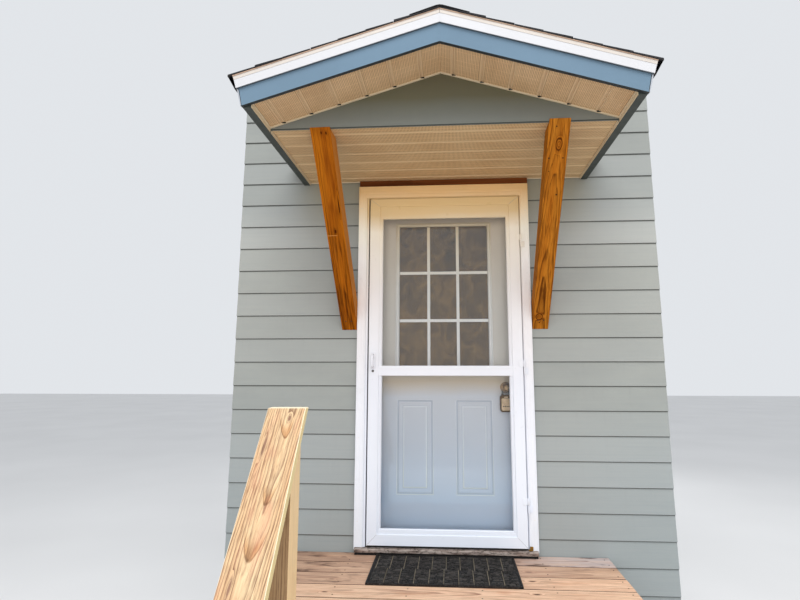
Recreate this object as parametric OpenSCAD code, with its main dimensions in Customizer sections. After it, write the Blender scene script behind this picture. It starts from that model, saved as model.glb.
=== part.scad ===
// Entrance porch: a gabled canopy on two timber braces over a house door with a
// storm door, in a bay of the lapped-board wall that carries it, with a timber
// landing, steps and one handrail.
// Millimetres. X to the right seen from outside, Y into the house, Z up.
// Origin: on the ground, on the centreline of the door, at the sheathing plane
// of the wall (the outer face of the lapped boards is side_t in front of it).

/* [Wall bay] */
// Half width of the wall bay
bay_half = 1250; // [1100:10:1600]
// Height of the wall bay above the ground
bay_h = 3400; // [3350:10:3700]
// Height of the foundation above the ground
found_h = 270; // [150:5:280]
// Thickness of the foundation
found_t = 200; // [150:5:300]
// Thickness of the framed wall behind the lapped boards
wall_t = 108; // [100:1:150]
// Thickness of the lapped boards
side_t = 16; // [12:1:20]
// Lower edge of the lapped boards
side_z0 = 284.6; // [280:0.1:300]

/* [Landing] */
// Height of the landing above the ground
deck_h = 610; // [600:1:620]
// Half width of the landing
deck_half = 880; // [800:1:950]
// Depth of the landing boards from the wall
deck_d = 1156; // [1150:1:1156]
// Thickness of the landing boards
board_t = 38; // [25:1:40]
// Height of the joists and rims
joist_h = 140; // [130:1:184]
// Run of one step
run = 197; // [195:1:205]
// Half width of the steps
stair_half = 492; // [480:1:492]

/* [Handrail] */
// Width of the rail board
cap_w = 140; // [130:1:140]
// Thickness of the rail board
cap_t = 38; // [25:1:40]
// Length of the rail board
cap_l = 905; // [880:1:920]
// Slope of the rail
cap_slope = 47; // [46:0.5:48]
// Plan angle of the rail board to the wall's normal
cap_skew = 3.2; // [2.5:0.1:3.5]
// Width of the square rail posts
post_w = 104; // [90:1:104]

/* [Door set] */
// Outer width of the outside trim
trim_w = 1016; // [1010:1:1020]
// Width of a side trim board
trim_b = 51; // [48:1:55]
// Depth of the outside trim
trim_t = 32; // [28:1:34]
// Top of the outside trim above the landing
trim_top = 2113.5; // [2110:0.5:2120]
// Underside of the head trim above the landing
trim_in = 2040; // [2038:1:2045]
// Width of the house door
slab_w = 910; // [900:1:912]
// Thickness of the house door
slab_t = 44; // [40:1:45]
// Height of the house door
slab_hh = 1994; // [1985:1:1996]
// Left edge of the storm door
leaf_x0 = -435.5; // [-440:0.5:-430]
// Right edge of the storm door
leaf_x1 = 449.5; // [445:0.5:450]
// Height of the storm door's lower edge above the landing
leaf_z0 = 50.4; // [45:0.1:60]
// Height of the storm door's upper edge above the landing
leaf_z1 = 2029; // [2020:0.5:2030]
// Thickness of the storm door
leaf_t = 32; // [28:1:34]

/* [Canopy] */
// Half width over the eave boards
can_half = 863; // [855:0.5:870]
// Sideways offset of the ridge from the door's centreline
can_x = 4; // [-10:1:10]
// Depth of the canopy from the wall's outer face
can_d = 994.5; // [980:0.5:1010]
// Height of the eave boards' lower edge above the landing
can_z = 2140.5; // [2138:0.5:2145]
// Height of the ceiling above the eave boards' lower edge
ceil_up = 12; // [8:1:14]
// Rise of the roof for each unit of width
can_m = 0.31; // [0.3:0.005:0.32]
// Distance of the gable panel from the wall's outer face
gable_d = 735; // [720:1:750]
// Height of the blue band at the rake
blue_h = 85; // [80:1:90]
// Height of the white band at the rake
white_h = 62; // [58:1:68]
// Thickness of the shingle layer
shingle_t = 10; // [8:1:16]
// Side of the square braces
brace_w = 89; // [80:1:100]
// Height of a brace's front edge above the landing, at the wall
brace_z = 1240; // [1220:1:1260]
// Slope of the braces
brace_a = 51; // [50:0.5:52]

/* [Hidden] */
$fn = 48;

wy0 = side_t;                    // outer face of the framed wall, from the siding face
wy1 = side_t + wall_t;           // inner face of the wall
rough_x = 490;                   // half width of the door frame
rabbet_x = 461.5;                // half width between the jambs
stop_x = 448;                    // half width between the stops
slab_y0 = wy1 - slab_t;          // outer face of the house door
stop_y = slab_y0 - 6;            // inner face of the stops
slab_z0 = deck_h + 48;           // lower edge of the house door
slab_z1 = slab_z0 + slab_hh;
stop_z = slab_z1 - 9;            // underside of the head stop
rabbet_z = slab_z1 + 6;
frame_top = slab_z1 + 25;
sill_z = deck_h + 38;            // top of the sill under the storm door
trim_z0 = deck_h + 27;           // foot of the side trims, on the sill's ends
trim_z1 = deck_h + trim_top;
head_in = deck_h + trim_in;      // underside of the head trim
trim_x0 = trim_w / 2 - trim_b;   // inner edge of the side trim
leaf_y0 = -45;                   // outer face of the storm door
leaf_y1 = leaf_y0 + leaf_t;
lz0 = deck_h + leaf_z0;
lz1 = deck_h + leaf_z1;
gx0 = -357; gx1 = 371;           // storm door glass, left and right
gl0 = deck_h + 138.5; gl1 = deck_h + 972.5;     // lower glass
gu0 = deck_h + 1030; gu1 = deck_h + 1904;       // upper glass
ez = deck_h + can_z;             // lower edge of the eave boards
cz = ez + ceil_up;               // ceiling
rise = deck_h / 3;
knob_x = 360; knob_z = deck_h + 904;
lite_x = 292; lite_z0 = deck_h + 984; lite_z1 = deck_h + 1908;
sh_px = 456; sh_py = -50;        // storm door hinge line
eh_px = -460; eh_py = wy1 + 6;   // house door hinge line
rim_y = -(deck_d - 7);           // front face of the front rim
st_y0 = rim_y - 38;              // front face of the stair header
cap_x = -564; cap_y = -1135; cap_z = deck_h + 870;  // middle of the rail's top end
post_x = -stair_half - post_w;   // left faces of the rail posts, whose right faces meet the steps
post_ys = [st_y0, st_y0 - 312];  // rear faces of the rail posts
hinge_zs = [deck_h + 236, deck_h + 983, deck_h + 1720];
ehinge_zs = [slab_z0 + 230, slab_z0 + 990, slab_z0 + 1770];

// Moves a piece from the siding face to the frame's origin at the sheathing plane
module at_wall() { translate([0, -side_t, 0]) children(); }

// Box given by its two corners
module bx(x0, x1, y0, y1, z0, z1) { translate([x0, y0, z0]) cube([x1 - x0, y1 - y0, z1 - z0]); }

// Height of the sloping line through the canopy's eave at a distance x from the ridge
function zr(x) = ez + (can_half - x) * can_m;

// Profile in XZ pushed out between two depths
module along_y(pts, y0, y1) { translate([0, y1, 0]) rotate([90, 0, 0]) linear_extrude(y1 - y0) polygon(pts); }

// Profile in YZ pushed out between two widths
module along_x(pts, x0, x1) { translate([x0, 0, 0]) rotate([90, 0, 90]) linear_extrude(x1 - x0) polygon(pts); }

// Sloping layer on both sides of the ridge: from x0 to x1, lifted by z0, t thick measured upright
module both_slopes(x0, x1, z0, t, y0, y1, lean = 0)
  for (s = [-1, 1]) translate([can_x, 0, 0])
    along_y([[s * x0, zr(x0) + z0], [s * x1, zr(x1) + z0], [s * (x1 + lean), zr(x1 + lean) + z0 + t], [s * x0, zr(x0) + z0 + t]], y0, y1);

// U of three boards around the door: inner half width, side width, foot, inner top, depth range, head height
module door_u(xi, w, z0, zt, y0, y1, h) {
  bx(-xi - w, -xi, y0, y1, z0, zt);
  bx(xi, xi + w, y0, y1, z0, zt);
  bx(-xi - w, xi + w, y0, y1, zt, zt + h);
}

module foundation() color("gray") bx(-bay_half, bay_half, 8, 8 + found_t, 0, found_h);
module wall_beside_door() color("tan") for (s = [-1, 1])
  bx(s > 0 ? rough_x : -bay_half, s > 0 ? bay_half : -rough_x, wy0, wy1, found_h, bay_h);
module wall_at_door() color("tan") {
  bx(-rough_x, rough_x, wy0, wy1, frame_top, bay_h);
  bx(-rough_x, rough_x, wy0, wy1, found_h, deck_h + 2);
}
module siding_beside_door() color("lightslategray") for (s = [-1, 1])
  bx(s > 0 ? trim_w / 2 : -bay_half, s > 0 ? bay_half : -trim_w / 2, 0, side_t, side_z0, bay_h);
module siding_at_door() color("lightslategray") {
  bx(-trim_w / 2, trim_w / 2, 0, side_t, trim_z1, bay_h);
  bx(-trim_w / 2, trim_w / 2, 0, side_t, side_z0, deck_h + 2);
}
module interior_casing() color("white") door_u(472, 57, deck_h + 30, rabbet_z + 6, wy1, wy1 + 16, 57);

// Jamb and head boards in the wall's opening
module door_frame() color("white") door_u(rabbet_x, rough_x - rabbet_x, deck_h + 2, rabbet_z, 0, wy1, frame_top - rabbet_z);
// Strips that the house door closes against
module door_stops() color("white") door_u(stop_x, rabbet_x - stop_x, deck_h + 2, stop_z, 0, stop_y, rabbet_z - stop_z);

// Sill: a nose in front of the wall, a flat part between the stops and one under the house door
module door_sill() color("gray") {
  along_x([[-50, deck_h + 9], [-4, deck_h + 9], [-4, deck_h + 2], [0, deck_h + 2], [0, trim_z0], [-trim_t, trim_z0], [-trim_t, sill_z], [-50, sill_z - 3]], -trim_w / 2 + 6, trim_w / 2 - 6);
  bx(-trim_x0, trim_x0, -trim_t, 0, trim_z0, sill_z);
  bx(-stop_x, stop_x, 0, stop_y, deck_h + 2, sill_z);
  bx(-rabbet_x, rabbet_x, stop_y, wy1, deck_h + 2, slab_z0 - 8);
}

module door_trim() color("white") door_u(trim_x0, trim_b, trim_z0, head_in, -trim_t, 0, trim_z1 - head_in);
module head_board() color("saddlebrown") bx(-506, 508, -20, 0, trim_z1, cz);

// Fixed rails of the storm door: side rails and stop lips, a rail under the head trim, and the lower hinge knuckles with their pins
module storm_frame() color("white") {
  bx(-trim_x0, -trim_x0 + 6, -30, -2, sill_z, head_in);
  bx(-trim_x0, leaf_x0 + 14, -8, -2, sill_z, head_in);
  bx(leaf_x1 - 14, trim_x0, -8, -2, sill_z, head_in);
  bx(leaf_x1 + 5.5, trim_x0, -26, -2, sill_z, head_in);
  bx(-trim_x0, trim_x0, -30, -2, lz1 + 5.5, head_in);
  bx(-trim_x0, trim_x0, -8, -2, lz1 - 12, head_in);
  for (z = hinge_zs) {
    bx(sh_px + 2, sh_px + 24, -trim_t - 3, -trim_t, z, z + 36);
    translate([sh_px, sh_py, z]) cylinder(r = 5, h = 36);
    translate([sh_px, sh_py, z]) cylinder(r = 2.5, h = 76);
    bx(sh_px - 1, sh_px + 5, sh_py, -trim_t, z, z + 36);
  }
}

// Storm door leaf: stiles and rails, with the upper hinge knuckles
module storm_leaf() color("white") {
  difference() {
    bx(leaf_x0, leaf_x1, leaf_y0, leaf_y1, lz0, lz1);
    bx(gx0, gx1, leaf_y0 - 1, leaf_y1 + 1, gl0, gl1);
    bx(gx0, gx1, leaf_y0 - 1, leaf_y1 + 1, gu0, gu1);
  }
  for (z = hinge_zs) difference() {
    union() {
      translate([sh_px, sh_py, z + 40]) cylinder(r = 5, h = 36);
      bx(leaf_x1 - 24, sh_px - 3, leaf_y0 - 2.5, leaf_y0, z + 40, z + 76);
    }
    translate([sh_px, sh_py, z + 39]) cylinder(r = 2.56, h = 38);
  }
}
module storm_glass() color("lightblue", 0.5) {
  bx(gx0, gx1, leaf_y0 + 14, leaf_y0 + 18, gu0, gu1);
  bx(gx0, gx1, leaf_y0 + 14, leaf_y0 + 18, gl0, gl1);
}

// Storm door handle: outside plate with a pull grip and a key cylinder, inside plate with a short lever
module storm_handle() color("white") {
  hx = -409; hz = deck_h + 1014;
  bx(hx - 14, hx + 14, leaf_y0 - 5, leaf_y0, hz, hz + 88);
  bx(hx - 7, hx + 7, leaf_y0 - 42, leaf_y0 - 32, hz + 3, hz + 85);
  for (z = [hz + 4, hz + 74]) bx(hx - 6, hx + 6, leaf_y0 - 33, leaf_y0 - 4, z, z + 10);
  translate([hx, leaf_y0, hz - 14]) rotate([90, 0, 0]) cylinder(r = 7, h = 4);
  bx(hx - 14, hx + 14, leaf_y1, leaf_y1 + 4, hz, hz + 88);
  bx(hx - 6, hx + 6, leaf_y1 + 3, leaf_y1 + 22, hz + 38, hz + 50);
  bx(hx - 6, hx + 50, leaf_y1 + 16, leaf_y1 + 24, hz + 36, hz + 52);
}

// House door: slab with the window cut through it and the bore for the lock
module entry_slab() color("lightsteelblue") difference() {
  bx(-slab_w / 2, slab_w / 2, slab_y0, wy1, slab_z0, slab_z1);
  bx(-lite_x + 18, lite_x - 18, slab_y0 - 1, wy1 + 1, lite_z0 + 18, lite_z1 - 18);
  translate([knob_x, slab_y0 - 1, knob_z]) rotate([-90, 0, 0]) cylinder(r = 27, h = slab_t + 2);
}
module entry_lite_frame() color("white") for (y0 = [slab_y0 - 11, wy1]) difference() {
  bx(-lite_x, lite_x, y0, y0 + 11, lite_z0, lite_z1);
  bx(-lite_x + 24, lite_x - 24, y0 - 1, y0 + 12, lite_z0 + 24, lite_z1 - 24);
}
module entry_glass() color("lightblue", 0.5) bx(-lite_x + 18, lite_x - 18, slab_y0 + 12, slab_y0 + 32, lite_z0 + 18, lite_z1 - 18);

// Moving halves of the house door's butt hinges: a plate on the door's edge and the middle knuckle
module entry_hinges() color("goldenrod") for (z = ehinge_zs) {
  bx(-slab_w / 2 - 2, -slab_w / 2, wy1 - 38, wy1, z, z + 90);
  difference() {
    union() {
      translate([eh_px, eh_py, z + 31]) cylinder(r = 5.5, h = 28);
      bx(-slab_w / 2 - 2, -slab_w / 2, wy1 - 1, eh_py, z + 31, z + 59);
    }
    translate([eh_px, eh_py, z + 30]) cylinder(r = 2.56, h = 30);
  }
}
// Fixed halves: a plate on the jamb, the outer knuckles and the pin
module jamb_hinges() color("goldenrod") for (z = ehinge_zs) {
  bx(-rabbet_x, -rabbet_x + 2, wy1 - 38, wy1, z, z + 90);
  for (k = [z, z + 62]) {
    translate([eh_px, eh_py, k]) cylinder(r = 5.5, h = 28);
    bx(-rabbet_x, -rabbet_x + 2, wy1 - 1, eh_py, k, k + 28);
  }
  translate([eh_px, eh_py, z]) cylinder(r = 2.5, h = 90);
}

// Round plates in which the knobs turn
module knob_roses() color("peru") for (y = [slab_y0, wy1 + 7]) difference() {
  translate([knob_x, y, knob_z]) rotate([90, 0, 0]) cylinder(r = 32, h = 7);
  translate([knob_x, y + 1, knob_z]) rotate([90, 0, 0]) cylinder(r = 11.06, h = 9);
}

// One knob with its neck, pointing along +Z from the door's face
module knob() {
  cylinder(r = 11, h = 36);
  rotate_extrude() polygon([[0, 32], [11, 32], [20, 38], [26, 47], [28, 56], [27, 66], [22, 73], [12, 77], [0, 78]]);
}
// Knobs on one spindle through the door
module entry_knobs() color("peru") translate([knob_x, slab_y0, knob_z]) rotate([90, 0, 0]) {
  knob();
  translate([0, 0, -slab_t]) mirror([0, 0, 1]) knob();
  translate([0, 0, -slab_t - 1]) cylinder(r = 8, h = slab_t + 2);
}

// Key box hanging by its shackle from the outside knob's neck
module lockbox() color("peru") {
  ys = slab_y0 - 20;
  bx(knob_x - 36, knob_x + 30, slab_y0 - 39, slab_y0 - 1, knob_z - 139, knob_z - 42);
  for (s = [-1, 1]) translate([knob_x + s * 21.5, ys, knob_z - 47]) cylinder(r = 4.5, h = 41.5);
  translate([knob_x, ys, knob_z - 5.5]) rotate([90, 0, 0]) rotate_extrude(angle = 180) translate([21.5, 0]) circle(r = 4.5);
}

module roof_deck() color("burlywood") both_slopes(1, 890, blue_h + white_h - 16, 16, -can_d + 8, 0, 5);
module shingles() color("dimgray") both_slopes(1, 925, blue_h + white_h, shingle_t, -can_d - 16, 0);
module ridge_cap() color("dimgray") translate([can_x, 0, 0]) {
  h = zr(0) + blue_h + white_h + shingle_t;
  along_y([[-130, h - 130 * can_m], [0, h], [130, h - 130 * can_m], [130, h - 130 * can_m + 7], [0, h + 7], [-130, h - 130 * can_m + 7]], -can_d - 18, -3);
}
module rake_trim() color("white") both_slopes(0.5, 886, blue_h, white_h - 0.1, -can_d - 10, -can_d + 8, 16);
module eave_trim() color("white") for (s = [-1, 1]) translate([can_x, 0, 0])
  along_y([[s * can_half, zr(can_half) + blue_h], [s * (can_half + 19), zr(can_half + 19) + blue_h], [s * (can_half + 19), zr(can_half + 19) + blue_h + white_h - 16], [s * can_half, zr(can_half) + blue_h + white_h - 16]], -can_d + 8, 0);
module rake_fascia() color("steelblue") both_slopes(0.5, can_half, 0, blue_h, -can_d, -can_d + 19, 19);
module eave_fascias() color("steelblue") for (s = [-1, 1]) translate([can_x, 0, 0])
  along_y([[s * (can_half - 38), ez], [s * can_half, ez], [s * can_half, zr(can_half) + blue_h + white_h - 16], [s * (can_half - 38), zr(can_half - 38) + blue_h + white_h - 16]], -can_d + 19, 0);
module rake_soffit() color("tan") both_slopes(0.5, can_half - 38, 10, 10, -can_d + 19, -gable_d);
module ceiling_soffit() color("tan") translate([can_x, 0, 0]) bx(-can_half + 38, can_half - 38, -gable_d + 12, 0, cz, cz + 10);
module gable_panel() color("slategray") translate([can_x, 0, 0])
  along_y([[-can_half + 38, cz], [can_half - 38, cz], [can_half - 38, zr(can_half - 38) + 10], [0, zr(0) + 10], [-can_half + 38, zr(can_half - 38) + 10]], -gable_d, -gable_d + 12);

// Square brace from the wall up to the ceiling's front edge, leaning sideways a little
module brace(x, lean) intersection() {
  t = tan(brace_a); h = brace_w / cos(brace_a);
  translate([x, 0, 0]) rotate([0, 0, lean]) along_x([[20, deck_h + brace_z - 20 * t], [-850, deck_h + brace_z + 850 * t], [-850, deck_h + brace_z + 850 * t + h], [20, deck_h + brace_z - 20 * t + h]], -brace_w / 2, brace_w / 2);
  bx(x - 200, x + 200, -900, 0, deck_h + 1000, cz);
}
module braces() color("peru") {
  brace(-556, -1.3);
  brace(558, -0.33);
}

// Sheet-metal angle where the roof meets the wall
module roof_flashing() color("dimgray") both_slopes(1, 923, blue_h + white_h + shingle_t, 60, -3, 0);

module deck_boards() color("burlywood") bx(-deck_half, deck_half, -deck_d, -2, deck_h - board_t, deck_h);
module deck_rim() color("tan") {
  z1 = deck_h - board_t; z0 = z1 - joist_h; xr = deck_half - 7;
  bx(-xr, xr, rim_y, rim_y + 38, z0, z1);
  bx(-xr, xr, -38, 0, z0, z1);
  for (s = [-1, 1]) bx(s > 0 ? xr - 38 : -xr, s > 0 ? xr : -xr + 38, rim_y + 38, -38, z0, z1);
}
module deck_joists() color("tan") {
  z1 = deck_h - board_t; z0 = z1 - joist_h; xr = deck_half - 7 - 19;
  for (i = [1:4]) bx(-xr + i * 2 * xr / 5 - 19, -xr + i * 2 * xr / 5 + 19, rim_y + 38, -38, z0, z1);
}
module deck_posts() color("tan") {
  z1 = deck_h - board_t - joist_h; xr = deck_half - 7;
  for (s = [-1, 1]) bx(s > 0 ? xr - 89 : -xr, s > 0 ? xr : -xr + 89, rim_y, rim_y + 89, 0, z1);
}
module stair_header() color("tan") bx(post_x, stair_half, st_y0, rim_y, deck_h - board_t - joist_h, deck_h - board_t);
module stair_stringers() color("tan") for (x = [-stair_half, -19, stair_half - 38])
  along_x([[st_y0, deck_h - rise - 38], [st_y0 - run, deck_h - rise - 38], [st_y0 - run, deck_h - 2 * rise - 38], [st_y0 - 2 * run, deck_h - 2 * rise - 38], [st_y0 - 2 * run, 0], [st_y0 - 250, 0], [st_y0, 250]], x, x + 38);
module stair_treads() color("burlywood") for (i = [1, 2])
  bx(-stair_half, stair_half, st_y0 - i * run - 25, st_y0 - (i - 1) * run, deck_h - i * rise - 38, deck_h - i * rise);

// Plan frame of the rail: its origin under the top end, -Y along the rail
module rail_plan() { translate([cap_x, cap_y, 0]) rotate([0, 0, cap_skew]) children(); }
// Slab along the rail, t thick from d above the board's upper face, in the rail's plan frame;
// wider by side at both edges and longer by up at the top end
module cap_space(d, t, l, side, up) translate([0, 0, cap_z]) rotate([cap_slope, 0, 0])
  translate([-cap_w / 2 - side, -l, d]) cube([cap_w + 2 * side, l + up, t]);
module newel_posts() color("wheat") difference() {
  for (y = post_ys) bx(post_x, post_x + post_w, y - post_w, y, 0, 1560);
  rail_plan() cap_space(-cap_t, 900, 1400, 200, 200);
}
// Rail board on the posts with its top end cut level, and a middle rail on their outer faces parallel to it
module rail_boards() color("wheat") {
  intersection() {
    rail_plan() cap_space(-cap_t, cap_t, cap_l, 0, 60);
    bx(-900, 0, -2000, -1000, 0, cap_z);
  }
  t = tan(cap_slope); y0 = st_y0 + 16; y1 = post_ys[1] - post_w - 16;
  along_x([[y0, 925], [y0, 1053], [y1, 1053 + (y1 - y0) * t], [y1, 925 + (y1 - y0) * t]], post_x - 38, post_x);
}
module doormat() color("black") bx(-377, 368, -435, -52, deck_h, deck_h + 10);

at_wall() foundation();
at_wall() wall_beside_door();
at_wall() wall_at_door();
at_wall() siding_beside_door();
at_wall() siding_at_door();
at_wall() interior_casing();
at_wall() door_frame();
at_wall() door_stops();
at_wall() door_sill();
at_wall() door_trim();
at_wall() head_board();
at_wall() storm_frame();
at_wall() storm_leaf();
at_wall() storm_glass();
at_wall() storm_handle();
at_wall() entry_slab();
at_wall() entry_lite_frame();
at_wall() entry_glass();
at_wall() entry_hinges();
at_wall() jamb_hinges();
at_wall() knob_roses();
at_wall() entry_knobs();
at_wall() lockbox();
at_wall() roof_deck();
at_wall() shingles();
at_wall() ridge_cap();
at_wall() rake_trim();
at_wall() eave_trim();
at_wall() rake_fascia();
at_wall() eave_fascias();
at_wall() rake_soffit();
at_wall() ceiling_soffit();
at_wall() gable_panel();
at_wall() braces();
at_wall() roof_flashing();
at_wall() deck_boards();
at_wall() deck_rim();
at_wall() deck_joists();
at_wall() deck_posts();
at_wall() stair_header();
at_wall() stair_stringers();
at_wall() stair_treads();
at_wall() newel_posts();
at_wall() rail_boards();
at_wall() doormat();
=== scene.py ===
"""Looks of the entrance porch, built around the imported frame.

All lengths in the geometry calls are millimetres in the same frame as the part's
source: X to the right, Y into the house from the outer face of the lapped boards,
Z above the ground. W() turns them into metres of the row frame.
"""
import math
import random

import bmesh
import bpy
from mathutils import Matrix, Vector


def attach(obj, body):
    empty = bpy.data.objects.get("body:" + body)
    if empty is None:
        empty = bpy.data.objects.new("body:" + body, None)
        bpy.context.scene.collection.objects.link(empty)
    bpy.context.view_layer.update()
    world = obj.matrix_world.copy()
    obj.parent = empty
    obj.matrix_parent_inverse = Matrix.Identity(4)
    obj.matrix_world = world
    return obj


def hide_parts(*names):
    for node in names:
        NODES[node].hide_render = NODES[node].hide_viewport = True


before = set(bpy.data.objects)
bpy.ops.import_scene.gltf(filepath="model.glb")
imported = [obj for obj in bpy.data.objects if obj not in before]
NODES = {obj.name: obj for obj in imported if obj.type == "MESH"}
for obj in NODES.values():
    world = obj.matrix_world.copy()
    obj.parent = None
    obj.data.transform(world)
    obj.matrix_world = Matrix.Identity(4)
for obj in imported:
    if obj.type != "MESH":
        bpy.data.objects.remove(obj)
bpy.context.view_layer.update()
rnd = random.Random(41)

# ------------------------------------------------------------------ sizes
D = 610.0                    # landing
SIDE_Z0, LAP = 284.6, 137.9  # first lapped board, exposure
BAY, BAYH = 1250.0, 3400.0
CX, HALF, M_ = 4.0, 863.0, 0.31
EZ = D + 2140.5
CZ = EZ + 12.0
CD, GD = 994.5, 735.0
BLUE, WHITE, SHT = 85.0, 62.0, 10.0
TZ0, TZ1, TIN = D + 27, D + 2113.5, D + 2040
SILL = D + 38
LX0, LX1, LZ0, LZ1 = -435.5, 449.5, D + 50.4, D + 2029
GX0, GX1, GL0, GL1, GU0, GU1 = -357.0, 371.0, D + 138.5, D + 972.5, D + 1030, D + 1904
LY0, LY1 = -45.0, -13.0
SY0, SY1 = 80.0, 124.0
SZ0, SZ1 = D + 48, D + 2042
KX, KZ = 360.0, D + 904
ST = -1187.0                 # front face of the stair header, rear face of the top rail post
PX0, PX1 = -596.0, -492.0


def W(x, y, z):
    return (x * 0.001, (y - 16.0) * 0.001, z * 0.001)


def zr(x):
    return EZ + (HALF - abs(x)) * M_


# ------------------------------------------------------------------ node helpers
TONE = 0.89                  # paints are given as seen under the studio light, which is 1.12 times a plain one


def lin(r, g, b):
    out = []
    for v in (r, g, b):
        v /= 255.0
        out.append(TONE * (v / 12.92 if v <= 0.04045 else ((v + 0.055) / 1.055) ** 2.4))
    return (*out, 1.0)


class NT:
    """A material's node tree, with short calls for the nodes used here."""

    def __init__(s, name, rough=0.5, metal=0.0, ior=1.45, coat=0.0, coat_rough=0.1, spec=0.5):
        s.mat = bpy.data.materials.new(name)
        s.mat.use_nodes = True
        s.t = s.mat.node_tree
        s.t.nodes.clear()
        s.out = s.n("ShaderNodeOutputMaterial")
        s.b = s.n("ShaderNodeBsdfPrincipled")
        s.t.links.new(s.b.outputs[0], s.out.inputs[0])
        s.b.inputs["Roughness"].default_value = rough
        s.b.inputs["Metallic"].default_value = metal
        s.b.inputs["IOR"].default_value = ior
        s.b.inputs["Coat Weight"].default_value = coat
        s.b.inputs["Coat Roughness"].default_value = coat_rough
        s.b.inputs["Specular IOR Level"].default_value = spec

    def n(s, t):
        return s.t.nodes.new(t)

    def put(s, sock, v):
        if isinstance(v, bpy.types.NodeSocket):
            s.t.links.new(v, sock)
        elif v is not None:
            sock.default_value = v

    def m(s, op, a, b=None, c=None, clamp=False):
        x = s.n("ShaderNodeMath")
        x.operation, x.use_clamp = op, clamp
        s.put(x.inputs[0], a)
        s.put(x.inputs[1], b)
        s.put(x.inputs[2], c)
        return x.outputs[0]

    def vm(s, op, a, b=None):
        x = s.n("ShaderNodeVectorMath")
        x.operation = op
        s.put(x.inputs[0], a)
        s.put(x.inputs[1], b)
        return x.outputs["Value"] if op in ("LENGTH", "DISTANCE", "DOT_PRODUCT") else x.outputs[0]

    def xyz(s, v):
        x = s.n("ShaderNodeSeparateXYZ")
        s.put(x.inputs[0], v)
        return x.outputs

    def comb(s, x, y, z):
        c = s.n("ShaderNodeCombineXYZ")
        for i, v in enumerate((x, y, z)):
            s.put(c.inputs[i], v)
        return c.outputs[0]

    def obj(s):
        return s.n("ShaderNodeTexCoord").outputs["Object"]

    def normal(s):
        return s.n("ShaderNodeNewGeometry").outputs["Normal"]

    def attr(s, name):
        a = s.n("ShaderNodeAttribute")
        a.attribute_name = name
        return a

    def noise(s, vec, scale, detail=2.0, rough=0.5, dist=0.0, col=False):
        x = s.n("ShaderNodeTexNoise")
        s.put(x.inputs["Vector"], vec)
        x.inputs["Scale"].default_value = scale
        x.inputs["Detail"].default_value = detail
        x.inputs["Roughness"].default_value = rough
        x.inputs["Distortion"].default_value = dist
        return x.outputs["Color" if col else "Fac"]

    def voro(s, vec, scale, feature="F1", out="Distance", rnd_=1.0):
        x = s.n("ShaderNodeTexVoronoi")
        x.feature = feature
        s.put(x.inputs["Vector"], vec)
        x.inputs["Scale"].default_value = scale
        x.inputs["Randomness"].default_value = rnd_
        return x.outputs[out]

    def ramp(s, fac, stops, interp="LINEAR"):
        x = s.n("ShaderNodeValToRGB")
        x.color_ramp.interpolation = interp
        e = x.color_ramp.elements
        while len(e) < len(stops):
            e.new(0.5)
        for el, (p, c) in zip(e, stops):
            el.position = p
            el.color = c if isinstance(c, tuple) else (c, c, c, 1)
        s.put(x.inputs[0], fac)
        return x.outputs[0]

    def rng(s, v, a, b, c=0.0, d=1.0, smooth=False):
        x = s.n("ShaderNodeMapRange")
        x.interpolation_type = "SMOOTHSTEP" if smooth else "LINEAR"
        x.clamp = True
        s.put(x.inputs[0], v)
        for i, q in enumerate((a, b, c, d)):
            x.inputs[i + 1].default_value = q
        return x.outputs[0]

    def mix(s, fac, a, b, mode="MIX"):
        x = s.n("ShaderNodeMix")
        x.data_type = "RGBA"
        x.blend_type = mode
        x.clamp_factor = True
        s.put(x.inputs[0], fac)
        s.put(x.inputs[6], a)
        s.put(x.inputs[7], b)
        return x.outputs[2]

    def bump(s, h, strength=0.3, dist=0.001, nrm=None):
        x = s.n("ShaderNodeBump")
        x.inputs["Strength"].default_value = strength
        x.inputs["Distance"].default_value = dist
        s.put(x.inputs["Height"], h)
        if nrm is not None:
            s.put(x.inputs["Normal"], nrm)
        s.t.links.new(x.outputs[0], s.b.inputs["Normal"])
        return x.outputs[0]

    def color(s, v):
        s.put(s.b.inputs["Base Color"], v)

    def rough(s, v):
        s.put(s.b.inputs["Roughness"], v)

    def ao(s, dist):
        x = s.n("ShaderNodeAmbientOcclusion")
        x.inputs["Distance"].default_value = dist
        x.samples = 4
        return x.outputs["AO"]


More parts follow.
